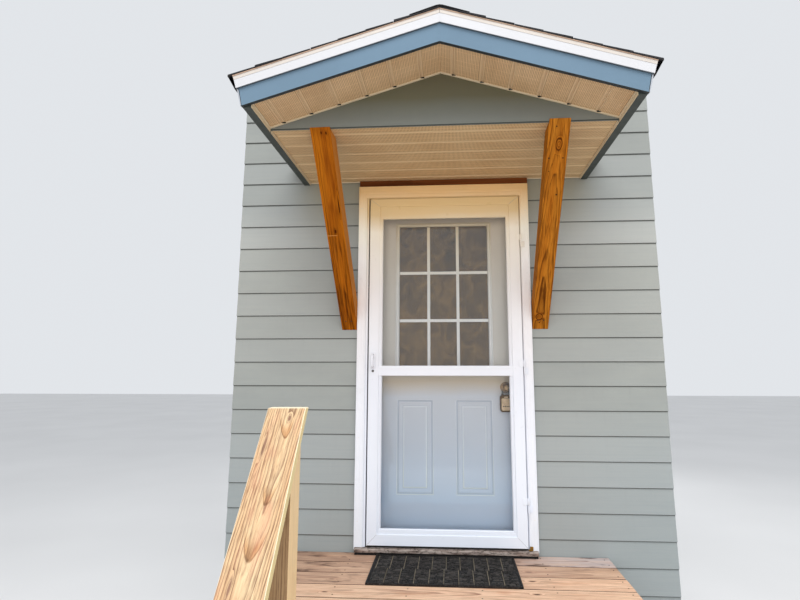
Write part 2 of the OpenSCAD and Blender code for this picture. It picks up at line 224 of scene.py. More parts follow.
# ------------------------------------------------------------------ materials
def paint(name, rgb, rough=0.42, mott=0.05, scale=3.0, grain=0.0, grain_axis=0, dirt=0.0, dirt_rgb=(90, 84, 74), orange=0.1, coat=0.0, underside_shade=None, painted_light_levels=None, inside=None):
    """Paint on a smooth or grained ground: mottling, faint dirt, orange peel or grain; a list of (height in m, colour)
    paints light and shade in by height, on the side before inside; a colour for faces turned down paints shade on them.
    """
    t = NT(name, rough=rough, coat=coat)
    p = t.obj()
    base = lin(*rgb)
    dark = tuple(c * (1 - mott * 2.2) for c in base[:3]) + (1,)
    lite = tuple(min(1, c * (1 + mott)) for c in base[:3]) + (1,)
    f = t.noise(p, scale, 4, 0.6)
    col = t.mix(t.rng(f, 0.3, 0.72), dark, lite)
    st = t.noise(t.vm("MULTIPLY", p, (9, 9, 1.1)), 3.0, 3, 0.6)
    col = t.mix(t.m("MULTIPLY", t.rng(st, 0.5, 0.8), mott * 2.0), col, tuple(c * 0.72 for c in base[:3]) + (1,))
    if dirt:
        d = t.noise(p, 14.0, 6, 0.7)
        col = t.mix(t.m("MULTIPLY", t.rng(d, 0.56, 0.78), dirt), col, lin(*dirt_rgb))
    # light and shade painted in by height: warm shade high, cool light low
    if painted_light_levels:
        za, zb = painted_light_levels[0][0], painted_light_levels[-1][0]
        z = t.m("ADD", t.xyz(p)[2], t.m("MULTIPLY", t.m("SUBTRACT", f, 0.5), 0.07))
        rel = [((zz - za) / (zb - za), tuple(c / b for c, b in zip(lin(*q)[:3], base[:3])) + (1,)) for zz, q in painted_light_levels]
        amt = 1.0 if inside is None else t.rng(t.xyz(p)[1], inside, inside + 0.004, 1.0, 0.0)
        col = t.mix(amt, col, t.ramp(t.rng(z, za, zb), rel), "MULTIPLY")
    # faces turned down take a darker colour: painted shade
    if underside_shade:
        col = t.mix(t.rng(t.xyz(t.normal())[2], -0.45, -0.75), col, lin(*underside_shade))
    t.color(col)
    t.rough(t.rng(t.noise(p, 21.0, 3, 0.6), 0.3, 0.7, rough - 0.05, rough + 0.08))
    if grain:
        sc = [240, 240, 240]
        sc[grain_axis] = 7
        h = t.noise(t.vm("MULTIPLY", p, tuple(sc)), 1.0, 4, 0.65)
        t.bump(h, grain, 0.0012)
    else:
        t.bump(t.noise(p, 420.0, 2, 0.5), orange, 0.0006)
    return t.mat


def wood(name, light, mid, dark, ring=0.0042, tilt=0.03, amp=0.006, strength=0.8, fibre=0.16, rough=0.62, knots=(), warm=None, weather=None, holes=(), sat_noise=0.5, coat=0.0, checks=0.0, bumps=0.35, ring_sharp=0.9, edges=None, spec=0.35, kdark=0.42, each_lo=0.35, vary_lo=0.45, halo=0.38, uneven_amp=3.2, arris_highlight=None, side=None, front=None, mottle=None, wob=0.16, open_knots=False, marks=(), mottle_u=None, flames=(), kcol=None):
    """Solid wood: growth rings round a pith line, fibres, knots that push the grain aside, weathering from the wt
    attribute; colours picked by face direction paint light and shade in.
    """
    t = NT(name, rough=rough, coat=coat, spec=spec)
    bc = t.attr("bc").outputs["Vector"]
    sd = t.attr("sd").outputs["Fac"]
    o = t.xyz(bc)
    u, v, w = o[0], o[1], o[2]
    shift = t.comb(t.m("MULTIPLY", sd, 37.0), t.m("MULTIPLY", sd, 11.0), t.m("MULTIPLY", sd, 5.0))
    q = t.vm("ADD", t.vm("MULTIPLY", bc, (1.6, 9.0, 9.0)), shift)
    warp = t.noise(q, 1.0, 3, 0.55)
    fine = t.noise(t.vm("ADD", t.vm("MULTIPLY", bc, (6.0, 60.0, 60.0)), shift), 1.0, 2, 0.5)
    push = None
    kmask = None
    khalo = None
    kline = None
    for ku, kv, ru, rv in knots:
        d = t.m("SQRT", t.m("ADD", t.m("POWER", t.m("DIVIDE", t.m("SUBTRACT", u, ku), ru), 2.0), t.m("POWER", t.m("DIVIDE", t.m("SUBTRACT", v, kv), rv), 2.0)))
        d = t.m("ADD", d, t.m("MULTIPLY", t.m("SUBTRACT", fine, 0.5), 0.5))
        a = t.rng(d, 2.1 if open_knots else 3.4, 0.4, 0.0, 1.0, True)
        k = t.rng(d, 1.12, 0.82, 0.0, 1.0)
        hl = t.rng(d, 2.1, 0.9, 0.0, 1.0, True)
        push = a if push is None else t.m("MAXIMUM", push, a)
        kmask = k if kmask is None else t.m("MAXIMUM", kmask, k)
        khalo = hl if khalo is None else t.m("MAXIMUM", khalo, hl)
        if open_knots:
            ln = t.m("MAXIMUM", t.rng(t.m("ABSOLUTE", t.m("SUBTRACT", d, 1.0)), 0.24, 0.08), t.m("MULTIPLY", t.rng(t.m("ABSOLUTE", t.m("SUBTRACT", d, 0.5)), 0.16, 0.04), 0.7))
            ln = t.m("MAXIMUM", ln, t.m("MULTIPLY", t.rng(d, 0.26, 0.12), 0.9))
            kline = ln if kline is None else t.m("MAXIMUM", kline, ln)
    depth = t.m("ADD", w, t.m("MULTIPLY", u, tilt))
    r = t.m("SQRT", t.m("ADD", t.m("MULTIPLY", v, v), t.m("MULTIPLY", depth, depth)))
    r = t.m("ADD", r, t.m("MULTIPLY", t.m("SUBTRACT", warp, 0.5), amp * 2))
    r = t.m("ADD", r, t.m("MULTIPLY", t.m("SUBTRACT", fine, 0.5), amp * wob))
    if push is not None:
        r = t.m("ADD", r, t.m("MULTIPLY", push, ring * 1.7))
    uneven = t.noise(t.comb(t.m("MULTIPLY", r, 62.0), t.m("MULTIPLY", u, 0.35), t.m("MULTIPLY", sd, 23.0)), 1.0, 2, 0.5)
    turn = t.m("ADD", t.m("DIVIDE", r, ring), t.m("MULTIPLY", t.m("SUBTRACT", uneven, 0.5), uneven_amp))
    f = t.m("FRACT", turn)
    each = t.noise(t.comb(t.m("MULTIPLY", t.m("FLOOR", turn), 3.31), t.m("MULTIPLY", u, 0.9), sd), 1.0, 1, 0.5)
    late = t.ramp(f, [(0.0, 0.05), (0.45, 0.12), (0.74, 0.55), (ring_sharp, 1.0), (0.985, 0.1)])
    vary = t.noise(t.vm("ADD", t.vm("MULTIPLY", bc, (1.1, 16.0, 16.0)), shift), 1.0, 2, 0.5)
    late = t.m("MULTIPLY", late, t.rng(vary, 0.25, 0.75, strength * vary_lo, strength))
    late = t.m("MULTIPLY", late, t.rng(each, 0.3, 0.65, each_lo, 1.1))
    broad = t.noise(t.vm("ADD", t.vm("MULTIPLY", bc, (0.9, 12.0, 12.0)), shift), 1.3, 3, 0.6)
    ground = t.mix(t.m("MULTIPLY", t.rng(broad, 0.35, 0.7), sat_noise), lin(*light), lin(*mid))
    col = t.mix(late, ground, lin(*dark))
    fib = t.noise(t.vm("ADD", t.vm("MULTIPLY", bc, (11.0, 700.0, 700.0)), shift), 1.0, 3, 0.6)
    col = t.mix(t.m("MULTIPLY", t.rng(fib, 0.42, 0.75), fibre), col, lin(*dark))
    tone = t.m("ADD", 0.93, t.m("MULTIPLY", t.m("FRACT", t.m("MULTIPLY", sd, 7.77)), 0.12))
    col = t.mix(1.0, col, t.comb(tone, tone, tone), "MULTIPLY")
    if warm is not None:
        w3 = t.noise(t.vm("ADD", t.vm("MULTIPLY", bc, (2.2, 10.0, 10.0)), shift), 2.1, 2, 0.5)
        col = t.mix(t.m("MULTIPLY", t.rng(w3, 0.55, 0.78), 0.75), col, lin(*warm))
    if mottle:
        m1 = t.noise(t.vm("ADD", t.vm("MULTIPLY", bc, (mottle[2], mottle[3], mottle[3])), shift), 1.0, 3, 0.62)
        mk = t.m("MULTIPLY", t.rng(m1, 0.42, 0.64) if mottle_u else t.rng(m1, 0.48, 0.70), mottle[0])
        if mottle_u:
            mk = t.m("MULTIPLY", mk, t.rng(u, mottle_u[0], mottle_u[1], mottle_u[2], mottle_u[3], True))
        col = t.mix(mk, col, lin(*dark))
        m2 = t.noise(t.vm("ADD", t.vm("MULTIPLY", bc, (mottle[2] * 0.7, mottle[3] * 0.8, mottle[3] * 0.8)), t.vm("MULTIPLY", shift, (2.3, 1.7, 3.1))), 1.0, 3, 0.62)
        col = t.mix(t.m("MULTIPLY", t.rng(m2, 0.5, 0.72), mottle[1]), col, lin(*light))
    if kline is not None:
        col = t.mix(t.m("MULTIPLY", khalo, halo), col, lin(*mid))
        col = t.mix(t.m("MULTIPLY", kline, 0.85), col, lin(*[int(c * kdark) for c in dark]))
    elif kmask is not None:
        kc = kcol or tuple(int(c * kdark) for c in dark)
        col = t.mix(t.m("MULTIPLY", khalo, halo), col, lin(*(kcol or dark)))
        inner = t.mix(t.ramp(t.m("FRACT", t.m("MULTIPLY", fine, 5.0)), [(0.3, 0.0), (0.6, 0.8)]), lin(*kc), lin(*([int(c * 1.3) for c in kcol] if kcol else [min(255, int(c * (kdark + 0.28))) for c in dark])))
        col = t.mix(kmask, col, inner)
    for ut, va, vs_, kk, rgb, am in flames:
        # arch of darker wood with its tip at ut
        dv = t.m("SUBTRACT", t.m("SUBTRACT", v, va), t.m("MULTIPLY", u, vs_))
        fd = t.m("SUBTRACT", t.m("SUBTRACT", ut, u), t.m("MULTIPLY", t.m("MULTIPLY", dv, dv), kk))
        fd = t.m("ADD", fd, t.m("MULTIPLY", t.m("SUBTRACT", fine, 0.5), 0.03))
        near = t.m("SUBTRACT", ut, u)
        fill = t.m("MULTIPLY", t.rng(fd, 0.0, 0.006), t.m("MULTIPLY", t.rng(fd, 0.070, 0.020), t.rng(near, 0.085, 0.035)))
        col = t.mix(t.m("MULTIPLY", fill, am), col, lin(*rgb), "MULTIPLY")
        edge = t.m("MULTIPLY", t.rng(t.m("ABSOLUTE", fd), 0.0075, 0.002), t.rng(near, 0.13, 0.05))
        col = t.mix(t.m("MULTIPLY", edge, am), col, lin(*[int(c * 0.8) for c in rgb]), "MULTIPLY")
    for mu, va, vb, hw, rgb in marks:
        mm = t.m("MULTIPLY", t.rng(t.m("ABSOLUTE", t.m("ADD", t.m("SUBTRACT", u, mu), t.m("MULTIPLY", t.m("SUBTRACT", fine, 0.5), 0.004))), hw, hw * 0.4), t.m("MULTIPLY", t.rng(v, va, va + 0.006), t.rng(v, vb, vb - 0.012)))
        col = t.mix(mm, col, lin(*rgb))
    hmask = None
    for hu, hv, hr in holes:
        d = t.m("SQRT", t.m("ADD", t.m("POWER", t.m("SUBTRACT", u, hu), 2.0), t.m("POWER", t.m("SUBTRACT", v, hv), 2.0)))
        hk = t.rng(d, hr * 1.15, hr * 0.8, 0.0, 1.0)
        hmask = hk if hmask is None else t.m("MAXIMUM", hmask, hk)
    if hmask is not None:
        col = t.mix(t.m("MULTIPLY", hmask, 0.9), col, (0.02, 0.012, 0.008, 1))
    if checks:
        ck = t.noise(t.vm("ADD", t.vm("MULTIPLY", bc, (2.2, 150.0, 150.0)), shift), 1.0, 1, 0.4)
        cm = t.rng(ck, 0.735, 0.765, 0.0, checks)
        col = t.mix(cm, col, (0.05, 0.03, 0.02, 1))
    if weather is not None:
        wt = t.attr("wt").outputs["Fac"]
        g = t.noise(t.vm("ADD", t.vm("MULTIPLY", bc, (2.6, 14.0, 14.0)), shift), 1.7, 4, 0.65)
        wm = t.m("MULTIPLY", wt, t.rng(g, 0.2, 0.62, 0.35, 1.0))
        pale = lin(*weather[0])
        if len(weather) > 3:
            pale = t.mix(t.m("MULTIPLY", t.rng(t.xyz(t.obj())[0], 0.3, 0.6), t.rng(wt, 0.65, 0.9)), pale, lin(*weather[3]))
        gray = t.mix(t.m("MULTIPLY", late, 0.6), pale, lin(*weather[1]))
        col = t.mix(wm, col, gray)
        bl = t.noise(t.vm("ADD", t.vm("MULTIPLY", bc, (5.0, 16.0, 16.0)), shift), 1.3, 3, 0.6)
        bm_ = t.m("MULTIPLY", t.m("MULTIPLY", t.rng(bl, 0.54, 0.68), wt), 0.8)
        col = t.mix(bm_, col, lin(*weather[2]))
    # faces that don't face up, darker: painted shade of the gaps between boards
    if edges:
        col = t.mix(t.rng(t.xyz(t.normal())[2], 0.97, 0.7, 0.0, 0.85), col, lin(*edges))
    if side:
        # faces turned to the right, paler: painted light
        col = t.mix(t.m("MULTIPLY", t.rng(t.xyz(t.normal())[0], 0.6, 0.9), side[1]), col, lin(*side[0]))
    if arris_highlight:
        # painted highlight on the arrises: faces that stand between the main ones
        away = t.m("ABSOLUTE", t.vm("DOT_PRODUCT", t.normal(), arris_highlight[0]))
        across = t.m("ABSOLUTE", t.xyz(t.normal())[0])
        rm = t.m("MULTIPLY", t.m("MULTIPLY", t.rng(away, 0.985, 0.93), t.rng(away, 0.12, 0.25)), t.rng(across, 0.99, 0.95))
        col = t.mix(t.m("MULTIPLY", rm, 0.85), col, lin(*arris_highlight[1]))
    # faces turned to the front darker: painted shade
    if front:
        col = t.mix(t.rng(t.xyz(t.normal())[1], -0.5, -0.8), col, front, "MULTIPLY")
    t.color(col)
    t.rough(t.rng(late, 0.0, 1.0, rough + 0.06, rough - 0.06))
    h = t.m("ADD", t.m("MULTIPLY", late, 0.5), t.m("MULTIPLY", fib, 0.6))
    if hmask is not None:
        h = t.m("SUBTRACT", h, t.m("MULTIPLY", hmask, 2.0))
    t.bump(h, bumps, 0.0007)
    return t.mat


def metal(name, rgb, rgb2, rough=0.35, scale=30.0, spots=0.0, spot_rgb=(60, 40, 25), mt=1.0):
    t = NT(name, rough=rough, metal=mt)
    p = t.obj()
    f = t.noise(p, scale, 4, 0.6)
    col = t.mix(t.rng(f, 0.35, 0.68), lin(*rgb), lin(*rgb2))
    if spots:
        sp = t.noise(p, scale * 4, 3, 0.7)
        col = t.mix(t.m("MULTIPLY", t.rng(sp, 0.55, 0.7), spots), col, lin(*spot_rgb))
    t.color(col)
    t.rough(t.rng(t.noise(p, scale * 2.2, 3, 0.6), 0.3, 0.7, max(0.05, rough - 0.12), rough + 0.14))
    t.bump(t.noise(p, scale * 9, 2, 0.5), 0.08, 0.0005)
    return t.mat


def siding_material():
    t = NT("siding_paint_m", rough=0.46)
    p = t.obj()
    o = t.xyz(p)
    k = t.m("DIVIDE", t.m("SUBTRACT", o[2], SIDE_Z0 * 0.001), LAP * 0.001)
    course = t.m("FLOOR", k)
    fr = t.m("FRACT", k)
    tint = t.noise(t.comb(t.m("MULTIPLY", course, 3.71), 0.0, 0.0), 1.0, 0, 0.5)
    base, d1, l1 = lin(166, 168, 162), lin(157, 159, 154), lin(172, 174, 170)
    f = t.noise(t.vm("MULTIPLY", p, (1.0, 1.0, 2.0)), 2.2, 4, 0.6)
    col = t.mix(t.rng(f, 0.3, 0.7), d1, base)
    col = t.mix(t.rng(tint, 0.35, 0.65), col, l1)
    s2 = t.noise(t.comb(t.m("MULTIPLY", o[0], 2.0), course, t.m("MULTIPLY", o[2], 90.0)), 1.0, 3, 0.65)
    col = t.mix(t.m("MULTIPLY", t.rng(s2, 0.45, 0.8), 0.16), col, lin(138, 146, 147))
    # darker and bluer towards the bottom: painted cool shade
    low = t.rng(o[2], 2.0, 0.7, 0.0, 1.0, True)
    col = t.mix(low, col, t.comb(0.855, 0.92, 0.985), "MULTIPLY")
    # darker near the canopy: painted shade
    canopy_shade = t.rng(o[2], 2.38, 2.64, 0.0, 1.0, True)
    col = t.mix(canopy_shade, col, t.comb(0.80, 0.815, 0.83), "MULTIPLY")
    # warm olive near the canopy: painted warm bounce light
    warm_bounce_light = t.m("MULTIPLY", t.rng(o[2], 2.3, 2.78, 0.0, 1.0, True), t.rng(t.m("ABSOLUTE", o[0]), 0.98, 0.7, 0.0, 1.0, True))
    col = t.mix(t.m("MULTIPLY", warm_bounce_light, 0.45), col, lin(158, 146, 104))
    # painted shade right under each butt edge, and faint dirt runs below it
    line = t.rng(fr, 0.946, 0.984, 0.0, 1.0)
    col = t.mix(t.m("MULTIPLY", line, 0.88), col, lin(50, 52, 46))
    run = t.noise(t.vm("MULTIPLY", p, (26.0, 1.0, 1.6)), 1.0, 3, 0.6)
    up = t.rng(fr, 0.2, 0.96, 0.0, 1.0)
    col = t.mix(t.m("MULTIPLY", t.m("MULTIPLY", t.rng(run, 0.55, 0.8), up), 0.12), col, lin(120, 124, 118))
    t.color(col)
    t.rough(t.rng(t.noise(p, 9.0, 3, 0.6), 0.3, 0.7, 0.4, 0.55))
    g = t.noise(t.comb(t.m("MULTIPLY", o[0], 6.0), t.m("MULTIPLY", course, 5.3), t.m("MULTIPLY", o[2], 320.0)), 1.0, 4, 0.6)
    t.bump(g, 0.22, 0.0009)
    return t.mat


def wall_core_material():
    """Cut edges of the framed wall: sheathing, stud or plate, inner board; painted inner face."""
    t = NT("wall_core_m", rough=0.75)
    p = t.obj()
    o = t.xyz(p)
    y = o[1]
    osb = t.mix(t.rng(t.noise(t.vm("MULTIPLY", p, (60.0, 60.0, 26.0)), 1.4, 2, 0.5, 1.2), 0.35, 0.65), lin(188, 150, 100), lin(148, 108, 66))
    fib = t.noise(t.vm("MULTIPLY", p, (300.0, 300.0, 5.0)), 1.0, 3, 0.6)
    stud = t.mix(t.rng(fib, 0.35, 0.7), lin(216, 184, 138), lin(186, 146, 98))
    core = t.mix(t.rng(t.noise(p, 260.0, 2, 0.5), 0.3, 0.7), lin(214, 210, 202), lin(192, 188, 180))
    pf = t.noise(p, 3.0, 4, 0.6)
    face = t.mix(t.rng(pf, 0.3, 0.7), lin(214, 211, 203), lin(224, 221, 214))
    col = t.mix(t.m("GREATER_THAN", y, 0.0118), osb, stud)
    col = t.mix(t.m("GREATER_THAN", y, 0.0950), col, core)
    col = t.mix(t.m("GREATER_THAN", y, 0.1076), col, face)
    t.color(col)
    roll = t.noise(p, 260.0, 3, 0.6)
    t.bump(roll, 0.12, 0.0006)
    return t.mat


def soffit_material(name, axis, step, first, origin, holes=0.35, seam_highlight=0.62, wash=(1.0, 1.0, 1.0)):
    """Perforated vinyl: painted highlight along every panel seam, with painted shade beside it and in its middle,
    pinstripes and rows of small holes.
    """
    t = NT(name, rough=0.55)
    p = t.obj()
    o = t.xyz(p)
    c = t.m("ABSOLUTE", t.m("SUBTRACT", o[0], origin)) if axis == 0 else t.m("SUBTRACT", o[1], origin)
    k = t.m("FRACT", t.m("ADD", t.m("DIVIDE", t.m("SUBTRACT", c, first), step), 0.5))
    g = t.m("MULTIPLY", t.m("ABSOLUTE", t.m("SUBTRACT", k, 0.5)), step)
    pitch = 0.0068
    fx = t.m("SUBTRACT", t.m("FRACT", t.m("DIVIDE", o[0], pitch)), 0.5)
    fy = t.m("SUBTRACT", t.m("FRACT", t.m("DIVIDE", o[1], pitch * 1.4)), 0.5)
    d = t.m("SQRT", t.m("ADD", t.m("POWER", fx, 2.0), t.m("MULTIPLY", t.m("POWER", fy, 2.0), 1.9)))
    slit = t.m("MULTIPLY", t.rng(t.m("ABSOLUTE", fx), 0.24, 0.16), t.rng(t.m("ABSOLUTE", t.m("SUBTRACT", t.m("FRACT", t.m("DIVIDE", o[1], 0.034)), 0.5)), 0.46, 0.42))
    hole = t.m("MAXIMUM", t.m("MULTIPLY", slit, 0.75), t.rng(d, 0.32, 0.2, 0.0, 1.0))
    down = t.m("LESS_THAN", t.xyz(t.normal())[2], -0.9)
    hole = t.m("MULTIPLY", t.m("MULTIPLY", hole, down), t.rng(g, 0.009, 0.012))
    f = t.noise(p, 5.0, 4, 0.6)
    col = t.mix(t.rng(f, 0.3, 0.7), lin(220, 183, 138), lin(234, 201, 158))
    ps = t.m("FRACT", t.m("DIVIDE", c, 0.0105))
    col = t.mix(t.m("MULTIPLY", t.rng(ps, 0.35, 0.6), 0.22), col, lin(168, 138, 102))
    st = t.noise(t.vm("MULTIPLY", p, (3.0, 30.0, 3.0) if axis else (30.0, 3.0, 3.0)), 1.0, 3, 0.6)
    col = t.mix(t.m("MULTIPLY", t.rng(st, 0.5, 0.8), 0.25), col, lin(170, 142, 104))
    # painted shade beside each seam, painted highlight along it, painted shade in its middle
    col = t.mix(t.m("MULTIPLY", t.rng(g, 0.0155, 0.0115), 0.34), col, lin(150, 120, 86))
    col = t.mix(t.m("MULTIPLY", t.rng(g, 0.0118, 0.0070, 0.0, 1.0, True), seam_highlight), col, lin(234, 208, 170))
    col = t.mix(t.m("MULTIPLY", t.rng(g, 0.0030, 0.0012), 0.4), col, lin(168, 140, 106))
    col = t.mix(t.m("MULTIPLY", hole, holes), col, lin(88, 62, 42))
    col = t.mix(1.0, col, t.comb(*wash), "MULTIPLY")
    t.color(col)
    t.bump(t.m("SUBTRACT", 1.0, hole), 0.35, 0.0008)
    return t.mat


def shingle_material(name="shingle_m"):
    t = NT(name, rough=0.9)
    p = t.obj()
    sd = t.attr("sd").outputs["Fac"]
    g = t.voro(p, 620.0, "F1", "Color")
    gv = t.xyz(g)[0]
    base = t.mix(t.rng(gv, 0.1, 0.9), lin(18, 18, 20), lin(56, 55, 57))
    blend = t.noise(t.vm("MULTIPLY", p, (6.0, 6.0, 6.0)), 2.0, 3, 0.6)
    base = t.mix(t.m("MULTIPLY", t.rng(blend, 0.45, 0.7), 0.4), base, lin(44, 38, 35))
    tone = t.m("ADD", 0.72, t.m("MULTIPLY", t.m("FRACT", t.m("MULTIPLY", sd, 13.7)), 0.5))
    base = t.mix(1.0, base, t.comb(tone, tone, tone), "MULTIPLY")
    t.color(base)
    t.bump(t.voro(p, 620.0), 0.6, 0.0012)
    return t.mat


def concrete_material():
    t = NT("concrete_m", rough=0.88)
    p = t.obj()
    f = t.noise(p, 3.0, 6, 0.65)
    col = t.mix(t.rng(f, 0.3, 0.7), lin(158, 154, 146), lin(186, 182, 174))
    s2 = t.noise(p, 40.0, 5, 0.7)
    col = t.mix(t.m("MULTIPLY", t.rng(s2, 0.5, 0.75), 0.35), col, lin(128, 124, 116))
    z = t.xyz(p)[2]
    low = t.rng(z, 0.10, 0.0, 0.0, 1.0, True)
    col = t.mix(t.m("MULTIPLY", low, 0.45), col, lin(112, 100, 84))
    pit = t.rng(t.voro(p, 60.0), 0.0, 0.18)
    t.color(col)
    h = t.m("ADD", t.m("MULTIPLY", s2, 0.7), t.m("MULTIPLY", pit, 0.5))
    t.bump(h, 0.5, 0.003)
    return t.mat


def glass_material(name, tint, base_alpha, gain):
    """Thin pane: a mirror as strong as the Fresnel share, clear otherwise."""
    t = NT(name, rough=0.02, metal=1.0)
    p = t.obj()
    sm = t.noise(t.vm("MULTIPLY", p, (2.0, 2.0, 3.0)), 1.6, 4, 0.6)
    t.color(t.mix(t.rng(sm, 0.3, 0.7), lin(*tint), lin(*[min(255, int(c * 1.03)) for c in tint])))
    fr = t.n("ShaderNodeFresnel")
    fr.inputs[0].default_value = 1.5
    a = t.m("ADD", base_alpha, t.m("MULTIPLY", fr.outputs[0], gain), clamp=True)
    t.put(t.b.inputs["Alpha"], a)
    t.rough(t.rng(sm, 0.3, 0.7, 0.015, 0.06))
    return t.mat


def dark_pane_material():
    """Double pane with an unlit room behind it, and warm brown mottling painted in as reflection."""
    t = NT("entry_pane_m", rough=0.03, ior=1.6)
    p = t.obj()
    o = t.xyz(p)
    f = t.noise(t.vm("MULTIPLY", p, (2.2, 2.2, 2.2)), 1.5, 3, 0.6)
    g = t.noise(t.vm("MULTIPLY", p, (7.0, 7.0, 5.0)), 2.0, 5, 0.7, 0.8)
    col = t.mix(t.rng(f, 0.3, 0.7), (0.035, 0.025, 0.014, 1), (0.140, 0.088, 0.034, 1))
    # warm brown patches, and more warm brown low down: painted reflection
    col = t.mix(t.m("MULTIPLY", t.rng(g, 0.42, 0.7), 0.6), col, (0.340, 0.195, 0.060, 1))
    lower = t.rng(o[2], 1.55, 2.5, 1.0, 0.0)
    col = t.mix(t.m("MULTIPLY", lower, 0.35), col, (0.170, 0.104, 0.040, 1))
    # from the room side the pane is only dim
    col = t.mix(t.rng(o[1], 0.090, 0.094), col, (0.030, 0.030, 0.031, 1))
    t.color(col)
    t.rough(t.rng(f, 0.3, 0.7, 0.02, 0.06))
    return t.mat


def mat_rubber_material():
    t = NT("mat_rubber_m", rough=0.72)
    p = t.obj()
    f = t.noise(p, 18.0, 5, 0.65)
    col = t.mix(t.rng(f, 0.3, 0.72), lin(8, 8, 9), lin(22, 21, 23))
    tone = t.m("FRACT", t.m("MULTIPLY", t.attr("sd").outputs["Fac"], 9.3))
    col = t.mix(t.m("MULTIPLY", t.rng(tone, 0.45, 1.0), 0.82), col, lin(78, 74, 71))
    d = t.noise(p, 160.0, 3, 0.7)
    col = t.mix(t.m("MULTIPLY", t.rng(d, 0.50, 0.68), 0.5), col, lin(104, 100, 94))
    t.color(col)
    t.bump(d, 0.5, 0.0016)
    return t.mat


def sill_material():
    t = NT("sill_metal_m", rough=0.6, metal=0.25)
    p = t.obj()
    f = t.noise(t.vm("MULTIPLY", p, (5.0, 40.0, 40.0)), 2.0, 5, 0.65)
    col = t.ramp(f, [(0.26, lin(52, 40, 34)), (0.42, lin(140, 124, 116)), (0.6, lin(196, 184, 176)), (0.8, lin(110, 92, 82))])
    s2 = t.noise(t.vm("MULTIPLY", p, (22.0, 60.0, 60.0)), 2.0, 4, 0.7)
    col = t.mix(t.m("MULTIPLY", t.rng(s2, 0.5, 0.62), 0.8), col, lin(44, 32, 27))
    t.color(col)
    t.bump(t.noise(t.vm("MULTIPLY", p, (12.0, 240.0, 240.0)), 1.0, 4, 0.6), 0.4, 0.001)
    return t.mat


MAT = {}
MAT["siding"] = siding_material()
MAT["core"] = wall_core_material()
MAT["concrete"] = concrete_material()
# trim paint: painted cool light low, brighter midway, painted warm shade towards the canopy
MAT["white"] = paint("white_trim_m", (243, 244, 249), painted_light_levels=[(0.75, (240, 246, 255)), (1.1, (240, 244, 252)), (1.5, (239, 240, 246)), (2.0, (248, 241, 239)), (2.26, (267, 263, 259)), (2.44, (268, 262, 244)), (2.58, (259, 233, 191)), (2.635, (252, 217, 166)), (2.69, (238, 195, 135))], rough=0.4, mott=0.02, dirt=0.10, dirt_rgb=(170, 162, 150), grain=0.05, grain_axis=2)
MAT["white_rake"] = paint("rake_white_m", (202, 202, 205), rough=0.38, mott=0.015, dirt=0.05, dirt_rgb=(200, 190, 180))
# storm door paint: painted cool light low, painted warm shade at the head
MAT["storm"] = paint("storm_white_m", (233, 235, 242), painted_light_levels=[(0.75, (237, 245, 258)), (1.1, (236, 242, 252)), (1.55, (234, 236, 244)), (2.05, (246, 241, 239)), (2.26, (254, 247, 236)), (2.44, (258, 247, 226)), (2.545, (236, 205, 153)), (2.60, (233, 199, 142)), (2.70, (228, 191, 134))], rough=0.32, mott=0.012, orange=0.05, coat=0.2)
MAT["frame_white"] = paint("frame_white_m", (236, 233, 230), rough=0.45, mott=0.03, dirt=0.1, dirt_rgb=(150, 140, 128))
# house door paint: painted sky light low, a band of painted warm shade, painted warm shade towards the top
MAT["entry"] = paint("entry_paint_m", (230, 234, 243), painted_light_levels=[(0.85, (211, 236, 260)), (1.2, (221, 231, 243)), (1.46, (229, 233, 240)), (1.55, (219, 201, 174)), (1.63, (229, 224, 215)), (2.0, (230, 223, 211)), (2.4, (231, 216, 193)), (2.6, (230, 204, 166))], inside=0.086, rough=0.4, mott=0.025, scale=1.6, orange=0.18)
# moulding colours: a darker copy of the door paint for the troughs, painted shade, and a lighter one for the slopes,
# painted highlight
MAT["entry_groove"] = paint("entry_groove_m", (208, 214, 226), painted_light_levels=[(0.85, (192, 214, 234)), (1.2, (200, 212, 228)), (1.47, (208, 214, 226))], inside=0.086, rough=0.5, mott=0.03, scale=6, dirt=0.1, dirt_rgb=(140, 146, 152))
MAT["entry_edge"] = paint("entry_edge_m", (246, 250, 255), painted_light_levels=[(0.85, (232, 250, 255)), (1.2, (238, 248, 255)), (1.47, (246, 250, 255))], inside=0.086, rough=0.38, mott=0.02)
# window frame paint: painted warm shade towards the top
MAT["lite"] = paint("lite_frame_m", (255, 254, 252), painted_light_levels=[(1.6, (255, 255, 255)), (2.1, (255, 252, 244)), (2.35, (252, 240, 216)), (2.5, (240, 216, 172))], inside=0.086, rough=0.4, mott=0.02)
# blue board paint, its faces turned down in painted shade
MAT["blue"] = paint("blue_paint_m", (102, 126, 145), rough=0.45, mott=0.03, scale=2.0, dirt=0.04, underside_shade=(42, 48, 50))
# upper strip of the white band, pinkish beige: the white paint in painted warm shade under the drip edge
MAT["white_warm"] = paint("rake_upper_shade_m", (204, 196, 188), rough=0.4, mott=0.03, scale=5, dirt=0.08, dirt_rgb=(196, 160, 130))
MAT["strip"] = paint("drip_strip_m", (186, 156, 134), rough=0.45, mott=0.08, scale=6)
# dark grey-green: the blue paint in painted shade, for the eave boards and the gable's flange
MAT["blue_dark"] = paint("eave_shade_m", (58, 64, 60), rough=0.5, mott=0.05)
